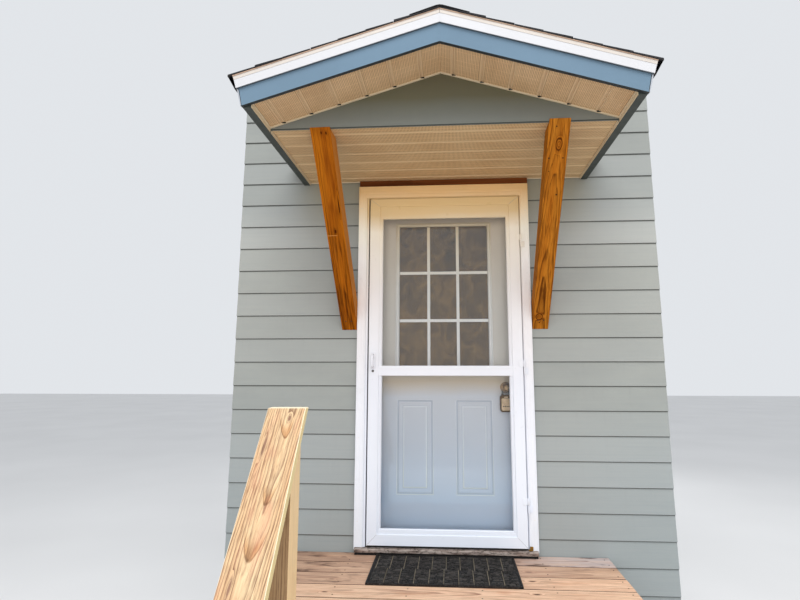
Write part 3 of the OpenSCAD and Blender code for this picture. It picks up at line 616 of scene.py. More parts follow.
# gable board paint: darker than the rake board and browner towards the apex, painted shade
MAT["gable"] = paint("gable_paint_shade_m", (122, 125, 117), painted_light_levels=[(2.775, (122, 125, 118)), (2.815, (113, 115, 107)), (2.86, (106, 107, 95)), (2.905, (97, 94, 74)), (3.0, (94, 89, 68))], rough=0.5, mott=0.04, scale=1.4)
RP0, RPS = {-1: 93.0, 1: 56.0}, 133.4     # first panel seam on each side of the ridge, panel width
MAT["soffit_l"] = soffit_material("soffit_rake_left_m", 0, RPS * 0.001, RP0[-1] * 0.001, CX * 0.001, holes=0.55, wash=(1.02, 0.99, 0.955))
MAT["soffit_r"] = soffit_material("soffit_rake_right_m", 0, RPS * 0.001, RP0[1] * 0.001, CX * 0.001, holes=0.55, wash=(1.02, 0.99, 0.955))
MAT["ceiling"] = soffit_material("soffit_ceiling_m", 1, 0.1185, 0.059, (-GD + 12 - 16) * 0.001, holes=0.8, seam_highlight=0.6, wash=(1.08, 1.07, 0.98))
MAT["jch"] = paint("soffit_trim_m", (222, 202, 168), rough=0.5, mott=0.04)
MAT["shingle"] = shingle_material()
MAT["flash"] = metal("flashing_m", (40, 40, 42), (60, 60, 62), rough=0.45, scale=14, mt=0.6)
MAT["drip"] = metal("drip_edge_m", (22, 22, 24), (34, 34, 36), rough=0.4, scale=14, mt=0.4)
MAT["osb"] = wood("roof_wood_m", (196, 158, 108), (170, 128, 80), (132, 92, 52), ring=0.012, amp=0.02, strength=0.5)
# head board: red-brown wood, its colours darkened for its place under the canopy, partly painted shade
MAT["head"] = wood("head_board_m", (132, 73, 34), (82, 43, 20), (38, 15, 6), ring=0.006, tilt=0.01, strength=0.7, rough=0.85, sat_noise=0.95, spec=0.08)
MAT["pine"] = wood("rail_pine_m", (246, 222, 178), (236, 196, 150), (196, 146, 104), ring=0.0052, tilt=0.036, amp=0.007, strength=0.85, fibre=0.14, warm=(214, 166, 132))
# post: front faces in painted shade, right faces painted light
MAT["post"] = wood("post_pine_m", (252, 220, 174), (238, 192, 138), (120, 72, 38), ring=0.0066, tilt=0.012, amp=0.005, strength=0.95, fibre=0.3, warm=(214, 170, 128), checks=0.7, uneven_amp=1.6, each_lo=0.5, front=(0.50, 0.46, 0.42, 1), side=((255, 226, 176), 0.65), mottle=(0.35, 0.4, 16.0, 180.0))
# deck boards: their sides in painted shade
MAT["deck"] = wood("deck_pine_m", (265, 229, 196), (259, 209, 172), (136, 82, 56), ring=0.0062, tilt=0.018, amp=0.010, strength=1.0, fibre=0.55, uneven_amp=2.2, warm=(212, 150, 114), mottle=(0.30, 0.25, 14.0, 150.0), weather=((176, 143, 122), (96, 66, 54), (66, 42, 32), (206, 192, 190)), checks=0.8, edges=(60, 40, 30), knots=((0.42, 0.012, 0.014, 0.006), (-0.55, -0.02, 0.012, 0.005)), bumps=0.6)
MAT["framing"] = wood("frame_pine_m", (196, 168, 126), (170, 138, 98), (122, 92, 60), ring=0.005, tilt=0.015, amp=0.006, strength=0.6, fibre=0.3, rough=0.8, checks=0.5, weather=((150, 138, 122), (104, 92, 78), (84, 70, 54)))
MAT["rubber"] = mat_rubber_material()
MAT["sill"] = sill_material()
MAT["brass"] = metal("brass_m", (186, 150, 84), (150, 116, 58), rough=0.34, spots=0.3, spot_rgb=(96, 74, 40))
MAT["bronze"] = metal("bronze_m", (214, 178, 132), (150, 118, 82), rough=0.30, spots=0.4, spot_rgb=(58, 42, 28))
MAT["bronze_dark"] = metal("bronze_dark_m", (132, 102, 70), (86, 64, 42), rough=0.42, spots=0.4, spot_rgb=(40, 30, 22))
MAT["bronze_face"] = metal("bronze_face_m", (246, 218, 182), (214, 184, 144), rough=0.5, spots=0.3, spot_rgb=(130, 108, 84), mt=0.45)
MAT["bronze_lite"] = metal("bronze_lite_m", (236, 208, 166), (196, 164, 122), rough=0.42, spots=0.3, spot_rgb=(110, 90, 66))
MAT["steel"] = metal("screw_m", (150, 148, 144), (110, 108, 104), rough=0.4, scale=60, spots=0.4, spot_rgb=(96, 66, 44))
MAT["rust"] = metal("rusty_nail_m", (84, 62, 48), (52, 38, 30), rough=0.7, scale=80, mt=0.4)
MAT["seam"] = paint("seam_shadow_m", (150, 152, 156), rough=0.7, mott=0.1, scale=40)
# grey-brown for the strip behind the storm door's gap: painted shade
MAT["gap_seal"] = paint("gap_seal_m", (112, 104, 100), rough=0.8, mott=0.12, scale=30)
MAT["black"] = paint("dark_gap_m", (26, 26, 27), rough=0.8, mott=0.05)
MAT["pane"] = glass_material("storm_pane_m", (236, 240, 244), 0.010, 0.8)
MAT["pane_dark"] = dark_pane_material()


# ------------------------------------------------------------------ mesh helpers
class Acc:
    """Collects faces of one piece, with board coordinates (bc), a seed (sd) and a weathering value (wt)."""

    def __init__(s):
        s.v, s.f, s.bc, s.sd, s.wt, s.mi, s.sm = [], [], [], [], [], [], []

    def add(s, verts, faces, bc=None, sd=0.0, wt=0.0, mi=0, sm=False):
        n = len(s.v)
        s.v += [W(*p) for p in verts]
        s.bc += [tuple(b) for b in bc] if bc is not None else [tuple(c * 0.001 for c in p) for p in verts]
        s.sd += [sd] * len(verts)
        s.wt += [wt] * len(verts)
        s.f += [tuple(i + n for i in f) for f in faces]
        s.mi += [mi] * len(faces)
        s.sm += [sm] * len(faces)

    def obj(s, name, mats, body, slot, *nodes):
        me = bpy.data.meshes.new(name)
        me.from_pydata(s.v, [], s.f)
        for m in mats:
            me.materials.append(m)
        me.polygons.foreach_set("material_index", s.mi)
        me.polygons.foreach_set("use_smooth", s.sm)
        a = me.attributes.new("bc", "FLOAT_VECTOR", "POINT")
        a.data.foreach_set("vector", [c for b in s.bc for c in b])
        for k, vals in (("sd", s.sd), ("wt", s.wt)):
            a = me.attributes.new(k, "FLOAT", "POINT")
            a.data.foreach_set("value", vals)
        bm = bmesh.new()
        bm.from_mesh(me)
        bmesh.ops.recalc_face_normals(bm, faces=bm.faces)
        for e in bm.edges:
            if len(e.link_faces) == 2 and e.calc_face_angle(0.0) > math.radians(34):
                e.smooth = False
        bm.to_mesh(me)
        bm.free()
        me.update()
        o = bpy.data.objects.new(name, me)
        bpy.context.scene.collection.objects.link(o)
        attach(o, body)
        if nodes:
            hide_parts(*nodes)
        return o


_boxes = {}


def _bevel(bm, off, seg):
    if off > 0:
        bmesh.ops.bevel(bm, geom=bm.edges[:], offset=off, segments=seg, affect="EDGES", profile=0.6, clamp_overlap=True)


def _dump(bm):
    bm.verts.index_update()
    vs = [tuple(v.co) for v in bm.verts]
    fs = [tuple(v.index for v in f.verts) for f in bm.faces]
    bm.free()
    return vs, fs


def box(acc, x0, x1, y0, y1, z0, z1, bev=1.0, seg=1, sd=None, wt=0.0, mi=0, M=None, off=None, sm=False):
    """Bevelled box. Its grain runs along its longest side; off moves the pith (across, below)."""
    d = (x1 - x0, y1 - y0, z1 - z0)
    key = tuple(round(c, 3) for c in d) + (bev, seg)
    if key not in _boxes:
        bm = bmesh.new()
        bmesh.ops.create_cube(bm, size=1)
        for v in bm.verts:
            v.co = Vector((v.co.x * d[0], v.co.y * d[1], v.co.z * d[2]))
        _bevel(bm, min(bev, min(d) * 0.4), seg)
        _boxes[key] = _dump(bm)
    vs, fs = _boxes[key]
    c = ((x0 + x1) / 2, (y0 + y1) / 2, (z0 + z1) / 2)
    order = sorted(range(3), key=lambda i: -d[i])
    sd = rnd.random() if sd is None else sd
    off = (rnd.uniform(-0.3, 0.3) * d[order[1]], rnd.uniform(0.5, 1.6) * max(d[order[2]], 20)) if off is None else off
    bc = [(v[order[0]] * 0.001, (v[order[1]] - off[0]) * 0.001, (v[order[2]] + off[1]) * 0.001) for v in vs]
    pts = [(v[0] + c[0], v[1] + c[1], v[2] + c[2]) for v in vs]
    if M is not None:
        pts = [tuple(M @ Vector(p)) for p in pts]
    acc.add(pts, fs, bc, sd, wt, mi, sm)


def prism(acc, poly, a, b, axis, bev=1.0, seg=1, bc=None, sd=None, wt=0.0, mi=0, M=None, sm=False):
    """Profile pushed out along an axis: 'x' takes (y, z) points, 'y' takes (x, z), 'z' takes (x, y)."""
    def P(p, t):
        return {"x": (t, p[0], p[1]), "y": (p[0], t, p[1]), "z": (p[0], p[1], t)}[axis]
    bm = bmesh.new()
    lo = [bm.verts.new(P(p, a)) for p in poly]
    hi = [bm.verts.new(P(p, b)) for p in poly]
    n = len(poly)
    bm.faces.new(lo)
    bm.faces.new(hi[::-1])
    for i in range(n):
        bm.faces.new((lo[i], hi[i], hi[(i + 1) % n], lo[(i + 1) % n]))
    bmesh.ops.recalc_face_normals(bm, faces=bm.faces)
    _bevel(bm, bev, seg)
    vs, fs = _dump(bm)
    q = [bc(*v) for v in vs] if bc else None
    pts = [tuple(M @ Vector(p)) for p in vs] if M is not None else vs
    acc.add(pts, fs, q, rnd.random() if sd is None else sd, wt, mi, sm)


def rings(acc, rr, mi=0, close_first=False, close_last=False, sm=False, sd=0.0):
    """Rectangular rings in the XZ plane joined in order: each is (x0, x1, z0, z1, y)."""
    vs, fs = [], []
    for x0, x1, z0, z1, y in rr:
        vs += [(x0, y, z0), (x1, y, z0), (x1, y, z1), (x0, y, z1)]
    for k in range(len(rr) - 1):
        for i in range(4):
            j = (i + 1) % 4
            fs.append((4 * k + i, 4 * k + j, 4 * k + 4 + j, 4 * k + 4 + i))
    if close_first:
        fs.append((0, 1, 2, 3))
    if close_last:
        n = 4 * (len(rr) - 1)
        fs.append((n, n + 1, n + 2, n + 3))
    acc.add(vs, fs, None, sd, 0.0, mi, sm)


def loop_rings(acc, rr, mi=0, sd=0.0):
    """As rings(), closed back from the last ring to the first: a hollow frame."""
    rings(acc, list(rr) + [rr[0]], mi, sd=sd)


def weld(o, dist=0.00002):
    bm = bmesh.new()
    bm.from_mesh(o.data)
    bmesh.ops.remove_doubles(bm, verts=bm.verts, dist=dist)
    bmesh.ops.recalc_face_normals(bm, faces=bm.faces)
    bm.to_mesh(o.data)
    bm.free()
    return o


def uframe(acc, prof, z0, mi=0):
    """Three-sided frame, open below: prof is a closed profile of (half width, top, y); its feet are closed at z0."""
    n = len(prof)
    vs, fs = [], []
    for hx, zt, y in prof:
        vs += [(-hx, y, z0), (-hx, y, zt), (hx, y, zt), (hx, y, z0)]
    for k in range(n):
        l = (k + 1) % n
        for i in range(3):
            fs.append((4 * k + i, 4 * k + i + 1, 4 * l + i + 1, 4 * l + i))
    fs.append(tuple(4 * k for k in range(n)))
    fs.append(tuple(4 * k + 3 for k in range(n))[::-1])
    acc.add(vs, fs, None, 0.0, 0.0, mi)


def lathe(acc, prof, origin, axis, n=32, mi=0):
    """Turned shape: prof is (radius, height) from one end to the other, radius 0 at both ends closes it."""
    ax = Vector(axis).normalized()
    ref = Vector((0, 0, 1)) if abs(ax.z) < 0.9 else Vector((1, 0, 0))
    e1 = ax.cross(ref).normalized()
    e2 = ax.cross(e1)
    O = Vector(origin)
    vs, fs, rows = [], [], []
    for r, h in prof:
        if r < 1e-6:
            rows.append([len(vs)])
            vs.append(tuple(O + ax * h))
        else:
            rows.append(list(range(len(vs), len(vs) + n)))
            for i in range(n):
                a = 2 * math.pi * i / n
                vs.append(tuple(O + ax * h + e1 * (r * math.cos(a)) + e2 * (r * math.sin(a))))
    for A, B in zip(rows, rows[1:]):
        if len(A) == 1 and len(B) == 1:
            continue
        for i in range(n):
            j = (i + 1) % n
            if len(A) == 1:
                fs.append((A[0], B[i], B[j]))
            elif len(B) == 1:
                fs.append((A[i], B[0], A[j]))
            else:
                fs.append((A[i], B[i], B[j], A[j]))
    acc.add(vs, fs, None, 0.0, 0.0, mi, True)


def disc(acc, c, axis, r=4.0, h=1.2, n=12, mi=0, dish=0.35):
    """A screw or nail head with a small recess."""
    lathe(acc, [(0, -0.4), (r * 0.96, -0.4), (r, h * 0.5), (r * 0.8, h), (r * 0.45, h), (r * 0.36, h - dish * h), (0, h - dish * h)], c, axis, n, mi)


def tube(acc, path, rx, ry, side, n=14, mi=0, taper=None):
    """Round bar along a polyline: rx across (towards side), ry in the path's other direction."""
    P = [Vector(p) for p in path]
    S = Vector(side).normalized()
    vs, fs = [], []
    for i, p in enumerate(P):
        t = (P[min(i + 1, len(P) - 1)] - P[max(i - 1, 0)]).normalized()
        nrm = t.cross(S).normalized()
        k = taper[i] if taper else 1.0
        for j in range(n):
            a = 2 * math.pi * j / n
            vs.append(tuple(p + S * (rx * k * math.cos(a)) + nrm * (ry * k * math.sin(a))))
    for i in range(len(P) - 1):
        for j in range(n):
            fs.append((i * n + j, (i + 1) * n + j, (i + 1) * n + (j + 1) % n, i * n + (j + 1) % n))
    fs.append(tuple(range(n)))
    fs.append(tuple(range((len(P) - 1) * n, len(P) * n))[::-1])
    acc.add(vs, fs, None, 0.0, 0.0, mi, True)


def paint_node(node, mat):
    o = NODES[node]
    o.data.materials.clear()
    o.data.materials.append(mat)


# ------------------------------------------------------------------ wall
def lapped(acc, x0, x1, z0, z1):
    k0 = int(math.floor((z0 - SIDE_Z0) / LAP + 1e-6))
    k = k0
    while SIDE_Z0 + k * LAP < z1 - 0.5:
        b, t = SIDE_Z0 + k * LAP, SIDE_Z0 + (k + 1) * LAP
        lo, hi = max(b, z0), min(t, z1)
        y_at = lambda z: 0.0 + 7.6 * (z - b) / LAP
        if lo <= b + 0.01:
            poly = [(16, lo), (1.6, lo), (0.4, lo + 0.5), (0.0, lo + 1.8), (y_at(hi), hi), (16, hi)]
        else:
            poly = [(16, lo), (y_at(lo), lo), (y_at(hi), hi), (16, hi)]
        prism(acc, poly, x0, x1, "x", bev=0)
        k += 1


a = Acc()
lapped(a, -BAY, -508, SIDE_Z0, BAYH)
lapped(a, 508, BAY, SIDE_Z0, BAYH)
a.obj("lapped_boards_beside", [MAT["siding"]], "root", "siding_paint", "siding_beside_door")
a = Acc()
lapped(a, -508, 508, TZ1, BAYH)
lapped(a, -508, 508, SIDE_Z0, D + 2)
a.obj("lapped_boards_at_door", [MAT["siding"]], "root", "siding_paint", "siding_at_door")
paint_node("wall_beside_door", MAT["core"])
paint_node("wall_at_door", MAT["core"])
paint_node("foundation", MAT["concrete"])

# head board over the trim
a = Acc()
box(a, -506, 508, -20, 0, TZ1, CZ, bev=1.5, seg=2, sd=0.31)
a.obj("head_board_wood", [MAT["head"]], "root", "red_brown_wood", "head_board")

# outside trim: a moulded casing of three pieces
a = Acc()
prof = [(508, TZ1, 0), (508, TZ1, -28.5), (507.2, TZ1 - 0.8, -31), (505, TZ1 - 3, -32), (501.5, TZ1 - 6.5, -32), (500.3, TZ1 - 7.7, -30.6),
        (498.8, TZ1 - 9.2, -30.6), (497.6, TZ1 - 10.4, -31.6), (481, TZ1 - 27, -31.6), (480, TZ1 - 28, -30.8), (478.6, TZ1 - 29.4, -30.8), (477.6, TZ1 - 30.4, -31.6),
        (467, TZ1 - 44, -31.6), (465.8, TZ1 - 46, -30.4), (463.6, TZ1 - 50, -30.4), (462.2, TZ1 - 53, -31.6),
        (459.6, TIN + 2.6, -31.6), (457.8, TIN + 0.8, -30.6), (457, TIN, -28.5), (457, TIN, 0)]
uframe(a, prof, TZ0)
for s in (-1, 1):
    for z in (D + 180, D + 640, D + 1100, D + 1560, D + 1960):
        disc(a, (s * 489, -31.6, z + rnd.uniform(-20, 20)), (0, -1, 0), r=2.4, h=0.7, n=10, mi=1)
a.obj("outside_casing", [MAT["white"], MAT["frame_white"]], "root", "white_trim", "door_trim")

# inside casing
a = Acc()
zi = D + 48 + 1994 + 12
prof = [(529, zi + 57, 124), (529, zi + 57, 138.5), (527.5, zi + 55.5, 140), (515, zi + 43, 140), (512, zi + 40, 137.5), (500, zi + 28, 134), (486, zi + 14, 133.5),
        (482, zi + 10, 136), (477, zi + 5, 136), (473.5, zi + 1.5, 134), (472, zi, 132), (472, zi, 124)]
uframe(a, prof, D + 30)
a.obj("inside_casing", [MAT["frame_white"]], "root", "white_trim", "interior_casing")
paint_node("door_frame", MAT["frame_white"])

# stops with a weather seal along their inner edge
paint_node("door_stops", MAT["frame_white"])
a = Acc()
for s in (-1, 1):
    box(a, min(s * 454, s * 461.4), max(s * 454, s * 461.4), 74.05, 78.2, SILL + 8, SZ1 - 10, bev=1.4, seg=2)
box(a, -454, 454, 74.05, 78.2, SZ1 - 7.6, SZ1 - 0.6, bev=1.4, seg=2)
a.obj("weather_seal", [MAT["black"]], "root", "white_trim")

# sill with a rounded nose, a raised lip and screws
a = Acc()
nose = [(-4, D + 14), (-46.0, D + 14), (-48.6, D + 15), (-50, D + 18), (-50, D + 30.5), (-49, D + 33), (-46.5, D + 35), (-40, D + 36.2), (-36, D + 38), (-32, D + 38), (-32, D + 27), (0, D + 27), (0, D + 2), (-4, D + 2)]
prism(a, nose, -502, 502, "x", bev=0)
# black strip under the nose: painted shadow between the sill and the landing
box(a, -500, 500, -43, -39, D + 0.6, D + 14.5, bev=0.5, mi=2)
flat = [(-32, D + 27.0), (-32, D + 38), (-24, D + 38), (-23, D + 36.8), (-20, D + 36.8), (-19, D + 38), (0, D + 38), (0, D + 27.0)]
prism(a, flat, -457, 457, "x", bev=0)
inner = [(0, D + 2), (0, D + 38)]
for i in range(6):
    y = 6 + i * 11
    inner += [(y, D + 38), (y + 1, D + 36.6), (y + 4, D + 36.6), (y + 5, D + 38)]
inner += [(74, D + 38), (74, D + 2)]
prism(a, inner, -448, 448, "x", bev=0)
prism(a, [(74, D + 2), (74, D + 34), (90, D + 40), (112, D + 40), (124, D + 36), (124, D + 2)], -461.5, 461.5, "x", bev=0)
for x in (-420, -210, 0, 210, 420):
    disc(a, (x, 36, D + 37.8), (0, 0, 1), r=4, h=0.6, mi=1)
a.obj("sill_profile", [MAT["sill"], MAT["steel"], MAT["black"]], "root", "sill_metal", "door_sill")

# ------------------------------------------------------------------ storm door
paint_node("storm_frame", MAT["storm"])
a = Acc()
for z in (D + 236, D + 983, D + 1720):
    for dz in (8, 28):
        disc(a, (472, -35, z + dz), (0, -1, 0), r=3.2, h=0.9, mi=0)
    lathe(a, [(0, 0), (4.4, 0), (5.2, 0.8), (5.2, 2.2), (3.6, 3.4), (0, 3.8)], (456, -50, z + 76), (0, 0, 1), 16, 0)
    lathe(a, [(0, 0), (4.4, 0), (5.2, 0.8), (5.2, 2.2), (3.6, 3.4), (0, 3.8)], (456, -50, z), (0, 0, -1), 16, 0)
a.obj("storm_frame_screws", [MAT["storm"]], "root", "storm_white")
a = Acc()
box(a, -456.8, -451.2, -31.2, -29.8, SILL + 2, TIN - 3, bev=0.5)
# strip behind the gap beside the leaf: a seal, coloured as painted shade of the gap
box(a, -450.6, -438.0, -12.2, -8.05, SILL + 4, TIN - 8, bev=0.8, seg=2, mi=1)
box(a, -451.0, -443.2, -40.0, -11.5, SILL + 4, TIN - 8, bev=0.8, seg=2)
a.obj("storm_latch_side_bead", [MAT["storm"], MAT["gap_seal"]], "root", "storm_white")
# small corroded brass corner at the foot of the right side
a = Acc()
box(a, 452.5, 470, -43, -33.2, SILL + 0.6, SILL + 9, bev=2.2, seg=2)
box(a, 458, 476, -36.8, -32.4, SILL + 0.4, SILL + 22, bev=1.8, seg=2)
disc(a, (467, -36.9, SILL + 14), (0, -1, 0), r=3.2, h=1.0)
a.obj("brass_corner", [metal("corner_brass_m", (186, 146, 72), (132, 96, 40), rough=0.5, scale=60, spots=0.7, spot_rgb=(92, 64, 30), mt=0.7)], "root", "storm_white")

a = Acc()
I0, I1 = -375.5, 389.5                     # inner edges of the stiles
out = (LX0, LX1, LZ0, LZ1)
def rr(l, r_, b_, t_, y):
    return (l, r_, b_, t_, y)
# outer frame of four mitred members: outer edge, face, inner edge down to the inserts
B_, T_ = LZ0 + 60, LZ1 - 50
frame_rings = [
    rr(LX0, LX1, LZ0, LZ1, LY1 + 1.0 - 1.0), rr(LX0, LX1, LZ0, LZ1, LY0 + 3), rr(LX0 + 0.8, LX1 - 0.8, LZ0 + 0.8, LZ1 - 0.8, LY0 + 0.9), rr(LX0 + 2.8, LX1 - 2.8, LZ0 + 2.8, LZ1 - 2.8, LY0),
    rr(I0 - 3, I1 + 3, B_ - 3, T_ + 3, LY0), rr(I0 - 0.8, I1 + 0.8, B_ - 0.8, T_ + 0.8, LY0 + 0.9), rr(I0, I1, B_, T_, LY0 + 3), rr(I0, I1, B_, T_, LY1),
]
loop_rings(a, frame_rings)
# upper insert: wide head rail, narrow sides, glazing bead; lower insert; back beads
def insert(b0, t0, gb, gt):
    f = LY0 + 5.0
    loop_rings(a, [
        rr(I0, I1, b0, t0, f + 0.6), rr(I0 + 0.8, I1 - 0.8, b0 + 0.8, t0 - 0.8, f), rr(GX0 - 11, GX1 + 11, gb - 11, gt + 11, f), rr(GX0 - 10, GX1 + 10, gb - 10, gt + 10, f + 1.3),
        rr(GX0 - 8.6, GX1 + 8.6, gb - 8.6, gt + 8.6, f + 1.3), rr(GX0 - 7.8, GX1 + 7.8, gb - 7.8, gt + 7.8, f + 0.2), rr(GX0 - 4.5, GX1 + 4.5, gb - 4.5, gt + 4.5, f + 0.4), rr(GX0, GX1, gb, gt, f + 6.5), rr(GX0, GX1, gb, gt, LY0 + 14),
        rr(I0, I1, b0, t0, LY0 + 14)])
    loop_rings(a, [
        rr(I0, I1, b0, t0, LY0 + 18), rr(GX0, GX1, gb, gt, LY0 + 18), rr(GX0, GX1, gb, gt, LY1 - 6), rr(GX0 - 6, GX1 + 6, gb - 6, gt + 6, LY1 - 1.5), rr(I0, I1, b0, t0, LY1 - 1.5)])
MR0, MR1 = GL1, GU0
insert(MR1 - 12, T_, GU0, GU1)
insert(B_, MR0 + 12, GL0, GL1)
# middle rail laid over both inserts, its ends lapping the stiles' beads
zc0, zc1 = GL1 + 1, GU0 - 1
for (x0, x1, y0, b) in ((I0 - 4, I1 + 4, LY0 + 1.2, 2.2),):
    box(a, x0, x1, y0, LY1 - 2, zc0 - 0.5, zc1 + 0.5, bev=b, seg=3)
box(a, I0, I1, LY0 + 0.2, LY0 + 4, zc1 - 15, zc1 - 1.5, bev=1.6, seg=2)
# hinge leaves
for z in (D + 236, D + 983, D + 1720):
    lathe(a, [(0, 40.2), (4.6, 40.2), (5.0, 40.8), (5.0, 75.4), (4.6, 76), (0, 76)], (456, -50, z), (0, 0, 1), 20)
    box(a, LX1 - 24, 453, LY0 - 2.4, LY0, z + 40, z + 76, bev=0.8)
    for dz in (49, 67):
        disc(a, (LX1 - 15, LY0 - 2.4, z + dz), (0, -1, 0), r=3, h=0.8, mi=0)
# mitre joints at the corners
for sx, x0, x1 in ((1, LX0, I0), (-1, LX1, I1)):
    for sz, z0, z1 in ((1, LZ0, B_), (-1, LZ1, T_)):
        xa, xb, za, zb = x0 + sx * 3.5, x1 - sx * 3.5, z0 + sz * 3.5, z1 - sz * 3.5
        n_ = Vector((zb - za, 0, -(xb - xa))).normalized() * 0.55
        vs = [(xa + n_.x, LY0 - 0.12, za + n_.z), (xb + n_.x, LY0 - 0.12, zb + n_.z), (xb - n_.x, LY0 - 0.12, zb - n_.z), (xa - n_.x, LY0 - 0.12, za - n_.z)]
        vs += [(v[0], LY0 + 0.3, v[2]) for v in vs]
        a.add(vs, [(0, 1, 2, 3), (7, 6, 5, 4), (0, 4, 5, 1), (1, 5, 6, 2), (2, 6, 7, 3), (3, 7, 4, 0)], mi=3)
# drip flange and sweep at the foot
box(a, LX0 + 4, LX1 - 4, LY0 + 6, LY1 - 3, LZ0 - 7, LZ0 + 1, bev=1.4, seg=2, mi=2)
leaf = a.obj("storm_door_leaf", [MAT["storm"], MAT["steel"], MAT["black"], MAT["seam"]], "storm_door", "storm_white", "storm_leaf")
paint_node("storm_glass", MAT["pane"])

# handle outside, lever inside
a = Acc()
hx, hz = -409.0, D + 1014
box(a, hx - 14, hx + 14, LY0 - 5, LY0 + 0.2, hz, hz + 88, bev=3, seg=3)
path = []
for k in range(7):
    q = math.radians(90 * k / 6)
    path.append((hx, LY0 - 29 - 9 * math.sin(q) + 0, hz + 79 - 6 * (1 - math.cos(q)) + 0))
path = [(hx, LY0 - 4, hz + 79), (hx, LY0 - 20, hz + 79.4), (hx, LY0 - 30, hz + 78), (hx, LY0 - 35, hz + 74), (hx, LY0 - 37, hz + 66), (hx, LY0 - 37.4, hz + 44), (hx, LY0 - 37, hz + 22), (hx, LY0 - 35, hz + 14), (hx, LY0 - 30, hz + 10), (hx, LY0 - 20, hz + 8.6), (hx, LY0 - 4, hz + 9)]
tube(a, path, 7.0, 4.8, (1, 0, 0), n=16)
lathe(a, [(0, 0), (6.6, 0), (7, 1), (7, 3), (6, 4), (0, 4)], (hx, LY0, hz - 14), (0, -1, 0), 24, 3)
box(a, hx - 0.9, hx + 0.9, LY0 - 4.4, LY0 - 3.8, hz - 18, hz - 10, bev=0.2, mi=2)
lathe(a, [(0, 0), (5.4, 0), (6, 1), (6, 6), (5, 8), (0, 8.6)], (hx, LY0 - 4.6, hz + 60), (0, -1, 0), 20, 0)
box(a, hx - 14, hx + 14, LY1 - 0.2, LY1 + 4, hz, hz + 88, bev=2.4, seg=2)
lathe(a, [(0, 0), (8, 0), (8, 12), (6.5, 16), (6.5, 22), (0, 22)], (hx, LY1 + 3, hz + 44), (0, 1, 0), 20, 0)
tube(a, [(hx - 4, LY1 + 20, hz + 44), (hx + 10, LY1 + 20.4, hz + 44), (hx + 30, LY1 + 20, hz + 43), (hx + 44, LY1 + 19, hz + 42), (hx + 49, LY1 + 18.6, hz + 42)], 4.0, 7.0, (0, 1, 0), n=14, taper=[1, 1, 0.95, 0.9, 0.6])
a.obj("storm_door_handle", [MAT["storm"], MAT["bronze_lite"], MAT["black"], MAT["steel"]], "storm_door", "storm_white", "storm_handle")


# ------------------------------------------------------------------ house door
def face_holes(acc, x0, x1, z0, z1, holes, y, mi=0):
    xs = sorted({x0, x1, *[h[0] for h in holes], *[h[1] for h in holes]})
    zs = sorted({z0, z1, *[h[2] for h in holes], *[h[3] for h in holes]})
    vs = [(x, y, z) for z in zs for x in xs]
    nx = len(xs)
    fs = []
    for j in range(len(zs) - 1):
        for i in range(nx - 1):
            cx, cz = (xs[i] + xs[i + 1]) / 2, (zs[j] + zs[j + 1]) / 2
            if any(h[0] < cx < h[1] and h[2] < cz < h[3] for h in holes):
                continue
            fs.append((j * nx + i, j * nx + i + 1, (j + 1) * nx + i + 1, (j + 1) * nx + i))
    acc.add(vs, fs, None, 0.0, 0.0, mi)


a = Acc()
SX = 455.0
LITE = (-292 + 18, 292 - 18, D + 984 + 18, D + 1908 - 18)
PANELS = [(-282.0, -66.0, D + 292, D + 832), (66.0, 282.0, D + 292, D + 832)]
for y, s in ((SY0, 1), (SY1, -1)):
    face_holes(a, -SX + 1.5, SX - 1.5, SZ0 + 1.5, SZ1 - 1.5, [LITE] + PANELS, y)
    for p in PANELS:
        def q(i, dep):
            return (p[0] + i, p[1] - i, p[2] + i, p[3] - i, y + s * dep)
        # moulding rings: the light slopes are painted highlight, the dark troughs painted shade
        rings(a, [q(0, 0), q(1.2, 0.3), q(4.0, 1.8)], mi=2)
        rings(a, [q(4.0, 1.8), q(8.0, 3.9), q(12.5, 3.9)], mi=1)
        rings(a, [q(12.5, 3.9), q(16, 2.4), q(19, 1.9)])
        rings(a, [q(19, 1.9), q(30, 2.6), q(35, 3.0)])
        rings(a, [q(35, 3.0), q(37.5, 2.9)], mi=1)
        rings(a, [q(37.5, 2.9), q(42, 0.9), q(45, 0.2)], mi=2)
        rings(a, [q(45, 0.2), q(47, 0.0)], close_last=True)
rings(a, [(-SX + 1.5, SX - 1.5, SZ0 + 1.5, SZ1 - 1.5, SY0), (-SX + 0.4, SX - 0.4, SZ0 + 0.4, SZ1 - 0.4, SY0 + 0.4), (-SX, SX, SZ0, SZ1, SY0 + 1.5), (-SX, SX, SZ0, SZ1, SY1 - 1.5), (-SX + 0.4, SX - 0.4, SZ0 + 0.4, SZ1 - 0.4, SY1 - 0.4), (-SX + 1.5, SX - 1.5, SZ0 + 1.5, SZ1 - 1.5, SY1)])
rings(a, [(*LITE, SY0), (*LITE, SY1)])
weld(a.obj("house_door_slab", [MAT["entry"], MAT["entry_groove"], MAT["entry_edge"]], "entry_door", "entry_paint", "entry_slab"))

